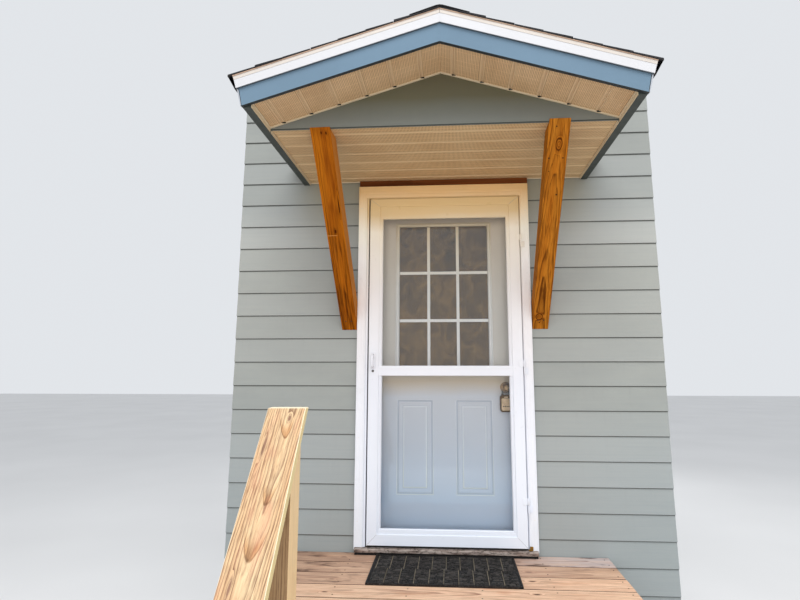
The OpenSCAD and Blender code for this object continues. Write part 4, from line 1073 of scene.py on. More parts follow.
# window frame with its bars, both sides
a = Acc()
for y, s in ((SY0, -1), (SY1, 1)):
    def q(i, h):
        return (-292 + i, 292 - i, D + 984 + i, D + 1908 - i, y + s * h)
    loop_rings(a, [q(0, 0), q(0, 2.5), q(0.8, 3.6), q(6, 6.5), q(9, 9.6), q(12, 10.8), (-292 + 16, 292 - 16, D + 984 + 16, D + 1908 - 16, y + s * 10.8), q(18.5, 9.8), q(20, 7.5), q(24, 2.0), q(24, -3.0), q(18, -3.0), q(18, 0)])
ly0, ly1 = SY0 + 5.5, SY0 + 12
for y0, y1, s in ((SY0 + 5.5, SY0 + 12.2, -1), (SY0 + 31.8, SY1 - 5.5, 1)):
    for x in (-90.4, 86.5):
        box(a, x - 9, x + 9, y0, y1, D + 1008, D + 1884, bev=2.4, seg=2)
    for z in (D + 1593.6, D + 1300.8):
        box(a, -268, 268, y0 - 0.3 * (s < 0), y1 + 0.3 * (s > 0), z - 9, z + 9, bev=2.4, seg=2)
for x in (-280, 280):
    for z in (D + 1000, D + 1230, D + 1446, D + 1662, D + 1892):
        disc(a, (x, SY1 + 10.6, z), (0, 1, 0), r=4.5, h=0.8, n=14)
a.obj("house_window_frame", [MAT["lite"]], "entry_door", "white_trim", "entry_lite_frame")
paint_node("entry_glass", MAT["pane_dark"])

# door sweep under the slab
a = Acc()
for x0 in range(-440, 440, 110):
    box(a, x0, x0 + 109.5, SY0 + 8, SY0 + 14, SZ0 - 7.2, SZ0 + 0.5, bev=1.2)
a.obj("door_sweep", [MAT["black"]], "entry_door", "entry_paint")

# hinges: carried-over nodes with screws and rounded pin ends
paint_node("entry_hinges", MAT["brass"])
paint_node("jamb_hinges", MAT["brass"])
a, b = Acc(), Acc()
for z in (SZ0 + 230, SZ0 + 990, SZ0 + 1770):
    for dz, dy in ((14, -12), (45, -26), (76, -12)):
        disc(a, (-457, SY1 + dy, z + dz), (-1, 0, 0), r=3.6, h=0.5)
        disc(b, (-459.5, SY1 + dy, z + dz), (1, 0, 0), r=3.6, h=0.5)
    for zz, s in ((z + 90, 1), (z, -1)):
        lathe(b, [(0, -1), (5.0, -1), (6.2, 0.6), (6.2, 2.4), (4.4, 4.2), (0, 4.8)], (-460, SY1 + 6, zz), (0, 0, s), 20)
a.obj("hinge_screws_door", [MAT["brass"]], "entry_door", "brass_hinge")
b.obj("hinge_screws_jamb", [MAT["brass"]], "root", "brass_hinge")

# knobs and roses
a = Acc()
rose = [(11.08, 0.0), (32, 0.0), (32, 2.0), (31, 3.6), (27, 5.0), (22, 5.4), (20, 6.4), (14, 7.0), (11.08, 7.0)]
for y, s in ((SY0, -1), (SY1, 1)):
    lathe(a, rose + [rose[0]], (KX, y, KZ), (0, s, 0), 40)
a.obj("door_roses", [MAT["bronze"]], "entry_door", "bronze", "knob_roses")
a = Acc()
kp = [(0, 0.2), (8, 0.2), (10.6, 1), (10.9, 4), (10.6, 30), (11.2, 33), (15, 35.6), (20.5, 38.4), (25, 43), (27.4, 49), (28, 56), (27.2, 63), (24.6, 69), (21.4, 73), (18.6, 74.6), (17.8, 73.8), (16.6, 75.4), (12, 77.2), (0, 78)]
for y, s in ((SY0, -1), (SY1, 1)):
    lathe(a, kp, (KX, y, KZ), (0, s, 0), 48)
lathe(a, [(0, 0), (7.9, 0), (7.9, 44), (0, 44)], (KX, SY0, KZ), (0, 1, 0), 20)
lathe(a, [(0, 0), (8.2, 0), (8.6, 0.6), (8.2, 1.2), (0, 1.2)], (KX, SY0 - 77.2, KZ), (0, -1, 0), 28, 1)
box(a, KX - 1.0, KX + 1.0, SY0 - 79.2, SY0 - 78.3, KZ - 5, KZ + 5, bev=0.2, mi=2)
a.obj("door_knobs", [MAT["bronze"], MAT["bronze_lite"], MAT["black"]], "knob_set", "bronze", "entry_knobs")

# key box on the outside knob's neck
a = Acc()
bx0, bx1, by0, by1, bz0, bz1 = KX - 36, KX + 30, SY0 - 39, SY0 - 1, KZ - 139, KZ - 42
def round_outline(x0, x1, z0, z1, rt, rb, n=6):
    """Rectangle with rounded corners, radius rt at the top and rb at the bottom."""
    pts = []
    for cx, cz, rr, a0 in ((x0 + rb, z0 + rb, rb, 180), (x1 - rb, z0 + rb, rb, 270), (x1 - rt, z1 - rt, rt, 0), (x0 + rt, z1 - rt, rt, 90)):
        for k in range(n + 1):
            an = math.radians(a0 + 90.0 * k / n)
            pts.append((cx + rr * math.cos(an), cz + rr * math.sin(an)))
    return pts


prism(a, round_outline(bx0, bx1, bz0, bz1, 17, 13), by0 + 1.0, by1, "y", bev=1.6, seg=3)
prism(a, round_outline(bx0 + 4.6, bx1 - 4.6, bz0 + 6.2, bz1 - 17.4, 10, 9), by0 + 0.5, by0 + 3.2, "y", bev=0.8, mi=2)
prism(a, round_outline(bx0 + 6.5, bx1 - 6.5, bz0 + 8, bz1 - 19, 8.4, 7.4), by0, by0 + 3, "y", bev=0.8, seg=2, mi=1)
for i in range(4):
    x = bx0 + 17.5 + i * 10.4
    lathe(a, [(0, -3.2), (5.6, -3.2), (6.0, -2.6), (6.0, 2.6), (5.6, 3.2), (0, 3.2)], (x, by0 + 5, bz0 + 32), (1, 0, 0), 20, 2)
box(a, bx0 + 22, bx1 - 22, by0 - 0.0, by0 + 2.6, bz1 - 16, bz1 - 9, bev=1.0, seg=2, mi=1)
ys = SY0 - 20
arc = [(KX - 21.5, ys, KZ - 47), (KX - 21.5, ys, KZ - 30), (KX - 21.5, ys, KZ - 5.5)]
arc += [(KX + 21.5 * math.cos(math.radians(t)), ys, KZ - 5.5 + 21.5 * math.sin(math.radians(t))) for t in range(165, 0, -15)]
arc += [(KX + 21.5, ys, KZ - 5.5), (KX + 21.5, ys, KZ - 30), (KX + 21.5, ys, KZ - 47)]
tube(a, arc, 4.5, 4.5, (0, 1, 0), n=16, mi=3)
for s in (-1, 1):
    lathe(a, [(0, 0), (6.6, 0), (7.2, 1), (7.2, 3.4), (6.2, 4.6), (4.6, 5)] + [(4.6, 0)], (KX + s * 21.5, ys, bz1 - 1), (0, 0, 1), 20, 0)
a.obj("key_box", [MAT["bronze_dark"], MAT["bronze_face"], MAT["black"], MAT["steel"]], "entry_door", "bronze", "lockbox")

# ------------------------------------------------------------------ canopy
def slope_piece(acc, s, x0, x1, dz, t, y0, y1, lean=0, bev=1.0, mi=0, seg=1, both_lean=0):
    pts = [(CX + s * x0, zr(x0) + dz), (CX + s * x1, EZ + (HALF - x1) * M_ + dz), (CX + s * (x1 + lean), EZ + (HALF - x1 - lean) * M_ + dz + t), (CX + s * x0, zr(x0) + dz + t)]
    prism(acc, pts, y0, y1, "y", bev=bev, seg=seg, mi=mi)


a = Acc()
for s in (-1, 1):
    slope_piece(a, s, 0.0, HALF, 0, BLUE, -CD, -CD + 19, lean=19, bev=0.35)
a.obj("rake_boards", [MAT["blue"]], "root", "blue_paint", "rake_fascia")
a = Acc()
for s in (-1, 1):
    slope_piece(a, s, 0.1, 886, BLUE, WHITE - 20, -CD - 10, -CD + 8, lean=10.8, bev=0.5, seg=2)
    slope_piece(a, s, 0.5, 897.2, BLUE + WHITE - 20.6, 17.4, -CD - 11.4, -CD + 8, lean=4.4, bev=1.2, seg=2, mi=1)
a.obj("rake_bands", [MAT["white_rake"], MAT["white_warm"]], "root", "white_trim", "rake_trim")
# shadow gap between the white band and the blue board
a = Acc()
for s in (-1, 1):
    slope_piece(a, s, 0.6, 884, BLUE - 1.5, 1.4, -CD - 7.6, -CD + 2, bev=0.2)
a.obj("rake_joint", [paint("joint_line_m", (84, 94, 102), rough=0.7, mott=0.1, scale=12)], "root", "white_trim")
# light metal returns at the rake boards' lower ends, with an open crack beside them, filled dark: painted shade
a, b = Acc(), Acc()
for s in (-1, 1):
    def tri(x0, x1, x2, x3):
        return [(CX + s * (HALF + x0), EZ + 1.2 - max(x0, 0) * M_), (CX + s * (HALF + x1), EZ + 1.2 - max(x1, 0) * M_), (CX + s * (HALF + x2), EZ + BLUE - 3.5 - x2 * M_), (CX + s * (HALF + x3), EZ + BLUE - 3.5 - x3 * M_)]
    prism(a, tri(-1.0, 2.6, 21.2, 15.0), -CD - 1.2, -CD + 18, "y", bev=0.4)
    prism(b, tri(-3.4, -1.4, 14.6, 12.2), -CD - 0.5, -CD + 1.5, "y", bev=0.1)
a.obj("rake_end_caps", [paint("end_cap_m", (170, 174, 182), rough=0.4, mott=0.03)], "root", "blue_paint")
b.obj("rake_end_cracks", [paint("crack_shade_m", (40, 42, 42), rough=0.8, mott=0.1, scale=20)], "root", "blue_paint")
# eave boards, in painted shade
a = Acc()
for s in (-1, 1):
    pts = [(CX + s * (HALF - 38), EZ), (CX + s * HALF, EZ), (CX + s * HALF, EZ + BLUE + WHITE - 16), (CX + s * (HALF - 38), zr(HALF - 38) + BLUE + WHITE - 16)]
    prism(a, pts, -CD + 19, 0, "y", bev=1.2)
a.obj("eave_boards", [MAT["blue_dark"]], "root", "blue_paint", "eave_fascias")
a = Acc()
for s in (-1, 1):
    z1 = EZ - 19 * M_
    pts = [(CX + s * HALF, EZ + BLUE), (CX + s * (HALF + 19), z1 + BLUE), (CX + s * (HALF + 19), z1 + BLUE + WHITE - 16), (CX + s * HALF, EZ + BLUE + WHITE - 16)]
    prism(a, pts, -CD + 8, 0, "y", bev=1.0)
a.obj("eave_bands", [MAT["white_rake"]], "root", "white_trim", "eave_trim")
# black drip edge along both eaves and up the rakes
a = Acc()
for s in (-1, 1):
    zt = EZ + (HALF - 924) * M_ + BLUE + WHITE
    pts = [(CX + s * 922.5, zt + 0.5), (CX + s * 920.5, zt + 0.5), (CX + s * 889.5, EZ + (HALF - 888) * M_ + BLUE - 2), (CX + s * 892, EZ + (HALF - 888) * M_ + BLUE - 3)]
    prism(a, pts, -CD - 4, -1, "y", bev=0)
    slope_piece(a, s, 0.5, 922, BLUE + WHITE - 0.4, 1.3, -CD - 8, -2, bev=0)
    slope_piece(a, s, 0.5, 903, BLUE + WHITE - 3.6, 4.2, -CD - 14.2, -CD - 8, bev=0.6, mi=1)
a.obj("drip_edges", [MAT["drip"], MAT["strip"]], "root", "flashing")
a = Acc()
for s in (-1, 1):
    slope_piece(a, s, 1, 890, BLUE + WHITE - 16, 15.4, -CD + 8, 0, lean=5, bev=0.8)
a.obj("roof_sheathing", [MAT["osb"]], "root", "roof_wood", "roof_deck")

# shingles: courses of tabs, each lapping the one below
a = Acc()
for s in (-1, 1):
    for c in range(8):
        xl = 925.0 - c * 121.0
        xu = max(xl - 121.0, 1.0)
        j = 0
        y = -CD - 15.5 + rnd.uniform(-2.5, 1.5)
        phase = (c % 2) * 152.0 + (c % 3) * 9
        while y < -2:
            y1 = min(y + (305.0 - phase if j == 0 else 305.0), -1.0)
            if -1.0 - y1 < 30:
                y1 = -1.0
            g = 3.0 if j else 0.0
            lo = BLUE + WHITE + (0.7 if c else 1.0)
            tl, tu = 9.8 + rnd.uniform(-1.4, 2.2), 6.6 + rnd.uniform(-0.5, 0.5)
            dx = rnd.uniform(-2.5, 1.0)
            x0 = xl + dx
            pts = [(CX + s * x0, EZ + (HALF - x0) * M_ + lo), (CX + s * xu, EZ + (HALF - xu) * M_ + lo),
                   (CX + s * xu, EZ + (HALF - xu) * M_ + lo + tu), (CX + s * x0, EZ + (HALF - x0) * M_ + lo + tl)]
            prism(a, pts, y + g, y1, "y", bev=0.9)
            y = y1
            j += 1
a.obj("shingle_courses", [MAT["shingle"]], "root", "shingle", "shingles")
a = Acc()
hr = zr(0) + BLUE + WHITE + SHT
y = -CD - 17.5
k = 0
while y < -6:
    y1 = min(y + 150, -3.4)
    wd = 128 + rnd.uniform(-3, 2)
    t0, t1 = 6.6, 3.0
    vs = []
    for (yy, hh) in ((y, 2.6), (y1, 0.2)):
        th = 4.2
        for (x, z) in ((-wd, hr - wd * M_ + hh - 1.6), (-14, hr - 14 * M_ + hh - 0.8), (0, hr + hh - 3.4), (14, hr - 14 * M_ + hh - 0.8), (wd, hr - wd * M_ + hh - 1.6)):
            vs.append((CX + x, yy, z))
        for (x, z) in ((wd, hr - wd * M_ + hh + 0.4), (14, hr - 14 * M_ + hh - 0.6 + th), (0, hr + hh - 2.8 + th), (-14, hr - 14 * M_ + hh - 0.6 + th), (-wd, hr - wd * M_ + hh + 0.4)):
            vs.append((CX + x, yy, z))
    fs = [tuple(range(10)), tuple(range(10, 20))[::-1]] + [(i, (i + 1) % 10, 10 + (i + 1) % 10, 10 + i) for i in range(10)]
    a.add(vs, fs, None, rnd.random(), 0, 0)
    y += 127
    k += 1
a.obj("ridge_shingles", [MAT["shingle"]], "root", "shingle", "ridge_cap")
paint_node("roof_flashing", MAT["flash"])
# sealant bead over the flashing's upper edge
a = Acc()
for s in (-1, 1):
    xs = [2 + i * 922 / 24 for i in range(25)]
    path = [(CX + s * x, -2.4 + rnd.uniform(-0.3, 0.3), zr(x) if x <= HALF else EZ + (HALF - x) * M_) for x in xs]
    path = [(p[0], p[1], p[2] + BLUE + WHITE + SHT + 59 + rnd.uniform(-0.5, 0.5)) for p in path]
    tube(a, path, 2.4, 2.4, (0, 1, 0), n=8)
a.obj("flashing_sealant", [MAT["flash"]], "root", "flashing")

# rake soffit: panels across the slope with grooves between them
def groove_profile(x0, x1, pitch, first):
    """List of (x, up) along a soffit: flat panels with a small groove at each seam."""
    out, x = [(x0, 0.0)], first
    while x < x1 - 6:
        out += [(x - 6.5, 0.0), (x - 5.0, 2.6), (x - 3.4, 2.6), (x - 2.0, 0.6), (x + 2.0, 0.6), (x + 3.4, 4.2), (x + 5.2, 4.2), (x + 6.5, 0.0)]
        x += pitch
    out.append((x1, 0.0))
    return out


a = Acc()
for s in (-1, 1):
    g = groove_profile(0.5, HALF - 38, RPS, RP0[s])
    pts = [(CX + s * x, zr(x) + 10 + u) for x, u in g]
    pts += [(CX + s * (HALF - 38), zr(HALF - 38) + 20), (CX + s * 0.5, zr(0.5) + 20)]
    prism(a, pts, -CD + 19, -GD, "y", bev=0, mi=0 if s < 0 else 1)
a.obj("rake_soffit_panels", [MAT["soffit_l"], MAT["soffit_r"]], "root", "soffit_vinyl", "rake_soffit")
a = Acc()
g = groove_profile(-GD + 12, -0.5, 118.5, -GD + 12 + 59.0)
pts = [(y, CZ + u) for y, u in g] + [(-0.5, CZ + 10), (-GD + 12, CZ + 10)]
prism(a, pts, CX - HALF + 38, CX + HALF - 38, "x", bev=0)
a.obj("ceiling_panels", [MAT["ceiling"]], "root", "soffit_vinyl", "ceiling_soffit")
# channels that hold the panels
a = Acc()
for s in (-1, 1):
    slope_piece(a, s, 0.5, HALF - 38, 5.5, 4.5, -GD - 11, -GD, bev=0.6)
    slope_piece(a, s, 0.5, HALF - 38, 6.5, 3.5, -CD + 19, -CD + 27, bev=0.6)
    x0, x1 = sorted((CX + s * (HALF - 38), CX + s * (HALF - 46)))
    box(a, x0, x1, -GD + 12, -12, CZ - 4, CZ, bev=0.6)
    xa, xb = sorted((CX + s * (HALF - 38), CX + s * (HALF - 40.5)))
    box(a, xa, xb, -GD + 12, -1, EZ + 0.8, CZ - 4, bev=0.4)
    box(a, xa, xb, -CD + 20, -GD, EZ + 0.8, CZ + 8, bev=0.4)
    prism(a, [(CX + s * (HALF - 38), zr(HALF - 38) + 5), (CX + s * (HALF - 46), zr(HALF - 46) + 5), (CX + s * (HALF - 46), zr(HALF - 46) + 10), (CX + s * (HALF - 38), zr(HALF - 38) + 10)], -CD + 27, -GD - 11, "y", bev=0.6)
box(a, CX - HALF + 38, CX + HALF - 38, -12, -0.2, CZ - 4, CZ, bev=0.6)
a.obj("soffit_channels", [MAT["jch"]], "root", "soffit_vinyl")
# dark notches where the panel grooves meet the channel: painted shade
a = Acc()
for s in (-1, 1):
    x = RP0[s] + (6 if s > 0 else -6)
    while x < HALF - 50:
        zz = zr(x) + 8.2
        box(a, CX + s * x - 9, CX + s * x + 9, -GD - 12.8, -GD - 10.4, zz - 3.4, zz + 3.2, bev=0.3)
        x += RPS
a.obj("channel_notches", [MAT["black"]], "root", "soffit_vinyl")
# gable panel, with a thin lower flange in painted shade
a = Acc()
pts = [(CX - HALF + 38, CZ), (CX + HALF - 38, CZ), (CX + HALF - 38, zr(HALF - 38) + 10), (CX, zr(0) + 10), (CX - HALF + 38, zr(HALF - 38) + 10)]
prism(a, pts, -GD, -GD + 12, "y", bev=0.8)
box(a, CX - HALF + 38, CX + HALF - 38, -GD - 0.8, -GD + 1, CZ - 1.5, CZ + 3.5, bev=0.4, mi=1)
a.obj("gable_board", [MAT["gable"], MAT["blue_dark"]], "root", "blue_paint", "gable_panel")

# braces
T51 = math.tan(math.radians(51))
H51 = 89 / math.cos(math.radians(51))
DIR = (math.cos(math.radians(51)), math.sin(math.radians(51)))


def brace(x, lean, mat, name, *nodes, off=(8, 34), sd=0.2, up=5.0):
    a = Acc()
    z0 = D + 1240
    zc = CZ
    M = Matrix.Translation((x, 0, 0)) @ Matrix.Rotation(math.radians(lean), 4, "Z")
    poly = [(0, z0), (-(zc + up - z0) / T51, zc + up), (-GD - 0.8, zc + up - 1.0), (-GD - 0.8, zc), (-(zc - z0 - H51) / T51, zc), (0, z0 + H51)]
    def bc(px, py, pz):
        u = (-py * DIR[0] + (pz - z0) * DIR[1]) * 0.001
        w = (py * DIR[1] + (pz - z0) * DIR[0]) * 0.001
        return (u, px * 0.001 - off[0] * 0.001, w + off[1] * 0.001)
    prism(a, poly, -45.8, 45.8, "x", bev=2.2, seg=2, bc=bc, sd=sd, M=M)
    # rough sawn, a little thicker towards the top
    cl, sl = math.cos(math.radians(lean)), math.sin(math.radians(lean))
    for i, p in enumerate(a.v):
        lx = (p[0] - x * 0.001) * cl + (p[1] + 0.016) * sl
        k = lx * 0.085 * min(1.0, max(0.0, (p[2] - z0 * 0.001) / ((zc - z0) * 0.001)))
        a.v[i] = (p[0] + k * cl, p[1] + k * sl, p[2])
    for du in (-16, 16):
        # screw heads near the foot
        p = Vector((du, -6 + 0.0, 0))
        for uu in (62.0,):
            q = Vector((du, -uu * DIR[0], z0 + uu * DIR[1]))
            disc(a, tuple(M @ q), tuple((M.to_3x3() @ Vector((0, -DIR[1], -DIR[0])))), r=4.2, h=0.6, mi=1)
    return a.obj(name, [mat, MAT["rust"]], "root", "brace_wood", *nodes)


# left brace: its right faces paler, painted light
MAT["brace_l"] = wood("brace_left_m", (206, 119, 24), (151, 68, 4), (62, 24, 2), ring=0.0078, tilt=0.012, amp=0.013, strength=0.9, fibre=0.5, rough=0.7, warm=(116, 50, 6), knots=((0.775, 0.030, 0.040, 0.0028), (0.635, -0.006, 0.012, 0.0040), (1.152, -0.004, 0.006, 0.0030), (1.150, 0.018, 0.006, 0.0028)), checks=0.7, sat_noise=0.95, spec=0.05, kdark=1.0, each_lo=0.5, vary_lo=0.55, halo=0.45,
                      mottle=(0.52, 0.4, 5.0, 100.0), mottle_u=(0.74, 0.50, 0.45, 1.45), wob=0.4, side=((226, 150, 72), 0.6), marks=((0.612, -0.052, 0.004, 0.0026, (204, 138, 70)),))
MAT["brace_r"] = wood("brace_right_m", (210, 134, 42), (176, 96, 20), (78, 34, 4), ring=0.0084, tilt=0.042, amp=0.013, strength=1.0, fibre=0.42, rough=0.7, sat_noise=0.9,
                      knots=((1.066, 0.0095, 0.029, 0.0130), (0.086, -0.008, 0.020, 0.018)), holes=((1.15, -0.008, 0.0034), (1.0, -0.030, 0.0042), (1.0, 0.031, 0.0036), (0.935, -0.026, 0.0026), (0.815, 0.018, 0.0042), (0.045, -0.004, 0.0040)), checks=0.6, spec=0.05, kdark=0.9, each_lo=0.6, vary_lo=0.6, halo=0.35,
                      mottle=(0.62, 0.6, 11.0, 150.0), wob=0.3, open_knots=True)
brace(-556, -1.55, MAT["brace_l"], "brace_left", off=(6, 40), sd=0.27, up=4.0)
brace(558, -0.08, MAT["brace_r"], "brace_right", "braces", off=(-4, 31.6), sd=0.63, up=10.0)

# ------------------------------------------------------------------ landing, steps, rail
a = Acc()
joist_x = [-873 + 19, *[-854 + i * 2 * 854 / 5 for i in range(1, 5)], 873 - 19]
b = Acc()
for k in range(8):
    y1 = -2 - 145.0 * k
    y0 = y1 - 139.7
    e0, e1 = rnd.uniform(-1.5, 1.5), rnd.uniform(-1.5, 1.5)
    wt = [1.0, 0.85, 0.22, 0.12, 0.08, 0.08, 0.1, 0.2][k]
    n0 = len(a.v)
    box(a, -880 + e0, 880 + e1, y0, y1, D - 38, D, bev=3.2, seg=2, sd=0.11 + 0.107 * k, wt=wt)
    wl, wr_ = [(1.0, 1.0), (1.0, 0.6), (1.0, 0.0), (0.3, 0.08)][k] if k < 4 else (wt, wt)
    for i in range(n0, len(a.v)):
        a.wt[i] = wl + (wr_ - wl) * (a.v[i][0] + 0.88) / 1.76
    for x in joist_x:
        for dy in (30, 110):
            disc(b, (x + rnd.uniform(-5, 5), y0 + dy + rnd.uniform(-4, 4), D + 0.0), (0, 0, 1), r=3.8, h=0.5)
a.obj("landing_boards", [MAT["deck"]], "root", "deck_pine", "deck_boards")
b.obj("landing_nails", [MAT["rust"]], "root", "deck_pine")
z1, z0 = D - 38, D - 178
a = Acc()
box(a, -873, 873, -1149, -1111, z0, z1, bev=2, wt=0.5)
box(a, -873, 873, -38, 0, z0, z1, bev=2, wt=0.6)
box(a, -873, -835, -1111, -38, z0, z1, bev=2, wt=0.5)
box(a, 835, 873, -1111, -38, z0, z1, bev=2, wt=0.5)
a.obj("landing_rims", [MAT["framing"]], "root", "frame_pine", "deck_rim")
a = Acc()
for i in range(1, 5):
    x = -854 + i * 2 * 854 / 5
    box(a, x - 19, x + 19, -1111, -38, z0, z1, bev=2, wt=0.4)
a.obj("landing_joists", [MAT["framing"]], "root", "frame_pine", "deck_joists")
# joist hangers
a = Acc()
for i in range(1, 5):
    x = -854 + i * 2 * 854 / 5
    for ya, yb, yn in ((-1111, -1070, -1111), (-79, -38, -38)):
        for s in (-1, 1):
            xa, xb = sorted((x + s * 19.2, x + s * 20.6))
            box(a, xa, xb, ya, yb, z0 - 1.4, z0 + 100, bev=0.3)
            xa, xb = sorted((x + s * 20.6, x + s * 44))
            yy = (yn, yn + 1.4) if yn == -1111 else (yn - 1.4, yn)
            box(a, xa, xb, yy[0], yy[1], z0 + 4, z0 + 96, bev=0.3)
        box(a, x - 20.6, x + 20.6, ya, yb, z0 - 1.5, z0 - 0.1, bev=0.3)
a.obj("joist_hangers", [metal("zinc_m", (172, 174, 176), (132, 134, 138), rough=0.45, scale=22, spots=0.2, spot_rgb=(110, 108, 104))], "root", "frame_pine")
a = Acc()
b = Acc()
for s in (-1, 1):
    xa, xb = sorted((s * 873, s * 784))
    box(a, xa, xb, -1149, -1060, 0, z0, bev=3, seg=2, wt=0.5)
a.obj("landing_posts", [MAT["framing"]], "root", "frame_pine", "deck_posts")
a = Acc()
box(a, PX0, 492, -1187, -1149, z0, z1, bev=2, wt=0.4)
a.obj("step_header", [MAT["framing"]], "root", "frame_pine", "stair_header")
a = Acc()
rise = D / 3
for x in (-492, -19, 454):
    pts = [(ST, D - rise - 38), (ST - 197, D - rise - 38), (ST - 197, D - 2 * rise - 38), (ST - 394, D - 2 * rise - 38), (ST - 394, 0), (ST - 250, 0), (ST, 250)]
    def bc(px, py, pz):
        return ((py * 0.707 + pz * 0.707) * 0.001, (pz * 0.707 - py * 0.707 - 1100) * 0.001, (px + 60) * 0.001)
    prism(a, pts, x, x + 38, "x", bev=1.2, bc=bc, wt=0.4)
a.obj("step_stringers", [MAT["framing"]], "root", "frame_pine", "stair_stringers")
a = Acc()
b = Acc()
for i in (1, 2):
    ya = ST - i * 197 - 25
    zt = D - i * rise
    wdt = (222 - 4) / 2.0
    for j in range(2):
        y0 = ya + j * (wdt + 4)
        box(a, -492, 492, y0, y0 + wdt, zt - 38, zt, bev=3.5, seg=2, wt=0.25)
        for x in (-473, 0, 473):
            for dy in (26, wdt - 26):
                disc(b, (x + rnd.uniform(-4, 4), y0 + dy, zt), (0, 0, 1), r=3.8, h=0.5)
a.obj("step_boards", [MAT["deck"]], "root", "deck_pine", "stair_treads")
b.obj("step_nails", [MAT["rust"]], "root", "deck_pine")

# rail board on two posts, middle rail on their outer faces
SL = math.radians(47)
SK = math.radians(3.2)
CAPX, CAPY, CAPZ = -564.0, -1135.0, D + 870
RP = Matrix.Translation((CAPX, CAPY, 0)) @ Matrix.Rotation(SK, 4, "Z")


def cap_under(x, y):
    """Height of the rail board's underside over a point in plan."""
    q = RP.inverted() @ Vector((x, y, 0))
    return CAPZ + q.y * math.tan(SL) - 38 / math.cos(SL)


# rail board: pale arrises are painted highlight, right faces painted light
MAT["rail_top"] = wood("rail_board_m", (247, 219, 176), (232, 190, 145), (92, 48, 32), ring=0.0070, tilt=0.0246, amp=0.0100, strength=1.0, fibre=0.5, warm=(206, 148, 118), mottle=(0.42, 0.35, 20.0, 210.0), wob=0.42, kcol=(118, 90, 74), flames=((0.128, -0.018, 0.153, 120.0, (238, 212, 190), 0.9), (0.377, 0.002, 0.0, 130.0, (244, 226, 208), 0.8), (0.545, 0.0, 0.0, 72.0, (240, 216, 194), 0.85)),
                       knots=((0.046, -0.003, 0.011, 0.0040), (0.165, -0.062, 0.034, 0.0036), (0.62, -0.031, 0.020, 0.0030)), sat_noise=1.0, checks=0.45, bumps=0.6, ring_sharp=0.92, kdark=1.05, each_lo=0.65, vary_lo=0.75, halo=0.5, uneven_amp=1.7,
                       arris_highlight=((0.0, -math.sin(math.radians(47)), math.cos(math.radians(47))), (255, 244, 216)), side=((255, 238, 178), 0.75))
a = Acc()
L = 905.0
cs, sn = math.cos(SL), math.sin(SL)
poly = [(0, CAPZ), (38 / sn, CAPZ), (-L * cs + 38 * sn, CAPZ - L * sn - 38 * cs), (-L * cs, CAPZ - L * sn)]


def bc(px, py, pz):
    u = (-(py) * cs + (CAPZ - pz) * sn) * 0.001
    w = (py * sn - (pz - CAPZ) * cs) * 0.001      # below the upper face
    return (u, px * 0.001 - 0.024 + 0.045 * u, 0.0343 - w)


prism(a, poly, -70, 70, "x", bev=4.2, seg=3, bc=bc, sd=0.0, M=RP)
t = math.tan(SL)
y0, y1 = ST + 16, ST - 312 - 104 - 16
pts = [(y0, 925), (y0, 1053), (y1, 1053 + (y1 - y0) * t), (y1, 925 + (y1 - y0) * t)]
prism(a, pts, PX0 - 38, PX0, "x", bev=2.5, seg=2, bc=lambda px, py, pz: ((-py * cs - pz * sn) * 0.001, ((pz - 925 - (py - y0) * t) * cs - 30) * 0.001, (px - PX0 + 60) * 0.001), sd=0.4, mi=1)
for yr in (ST, ST - 312):
    for dz in (-22, 22):
        disc(a, (PX0 - 38, yr - 52, 989 + (yr - 52 - y0) * t + dz), (-1, 0, 0), r=7, h=4, n=6, mi=2)
a.obj("rail_board_and_mid_rail", [MAT["rail_top"], MAT["post"], MAT["rust"]], "root", "pine", "rail_boards")
a = Acc()
for yr, sd in ((ST, 0.52), (ST - 312, 0.87)):
    y0_, y1_ = yr - 104, yr
    bm = bmesh.new()
    c = [(PX0, y0_), (PX1, y0_), (PX1, y1_), (PX0, y1_)]
    lo = [bm.verts.new((x, y, 0)) for x, y in c]
    hi = [bm.verts.new((x, y, cap_under(x, y))) for x, y in c]
    bm.faces.new(lo[::-1])
    bm.faces.new(hi)
    for i in range(4):
        bm.faces.new((lo[i], lo[(i + 1) % 4], hi[(i + 1) % 4], hi[i]))
    bmesh.ops.recalc_face_normals(bm, faces=bm.faces)
    bmesh.ops.bevel(bm, geom=[e for e in bm.edges if abs(e.verts[0].co.x - e.verts[1].co.x) < 1e-3 and abs(e.verts[0].co.y - e.verts[1].co.y) < 1e-3], offset=4, segments=2, affect="EDGES", profile=0.6)
    vs, fs = _dump(bm)
    q = [((v[2]) * 0.001, (v[0] + 544 + 14) * 0.001, (v[1] - (y0_ + 52) + 18) * 0.001) for v in vs]
    a.add(vs, fs, q, sd, 0.0, 0)
a.obj("rail_posts", [MAT["post"]], "root", "pine", "newel_posts")

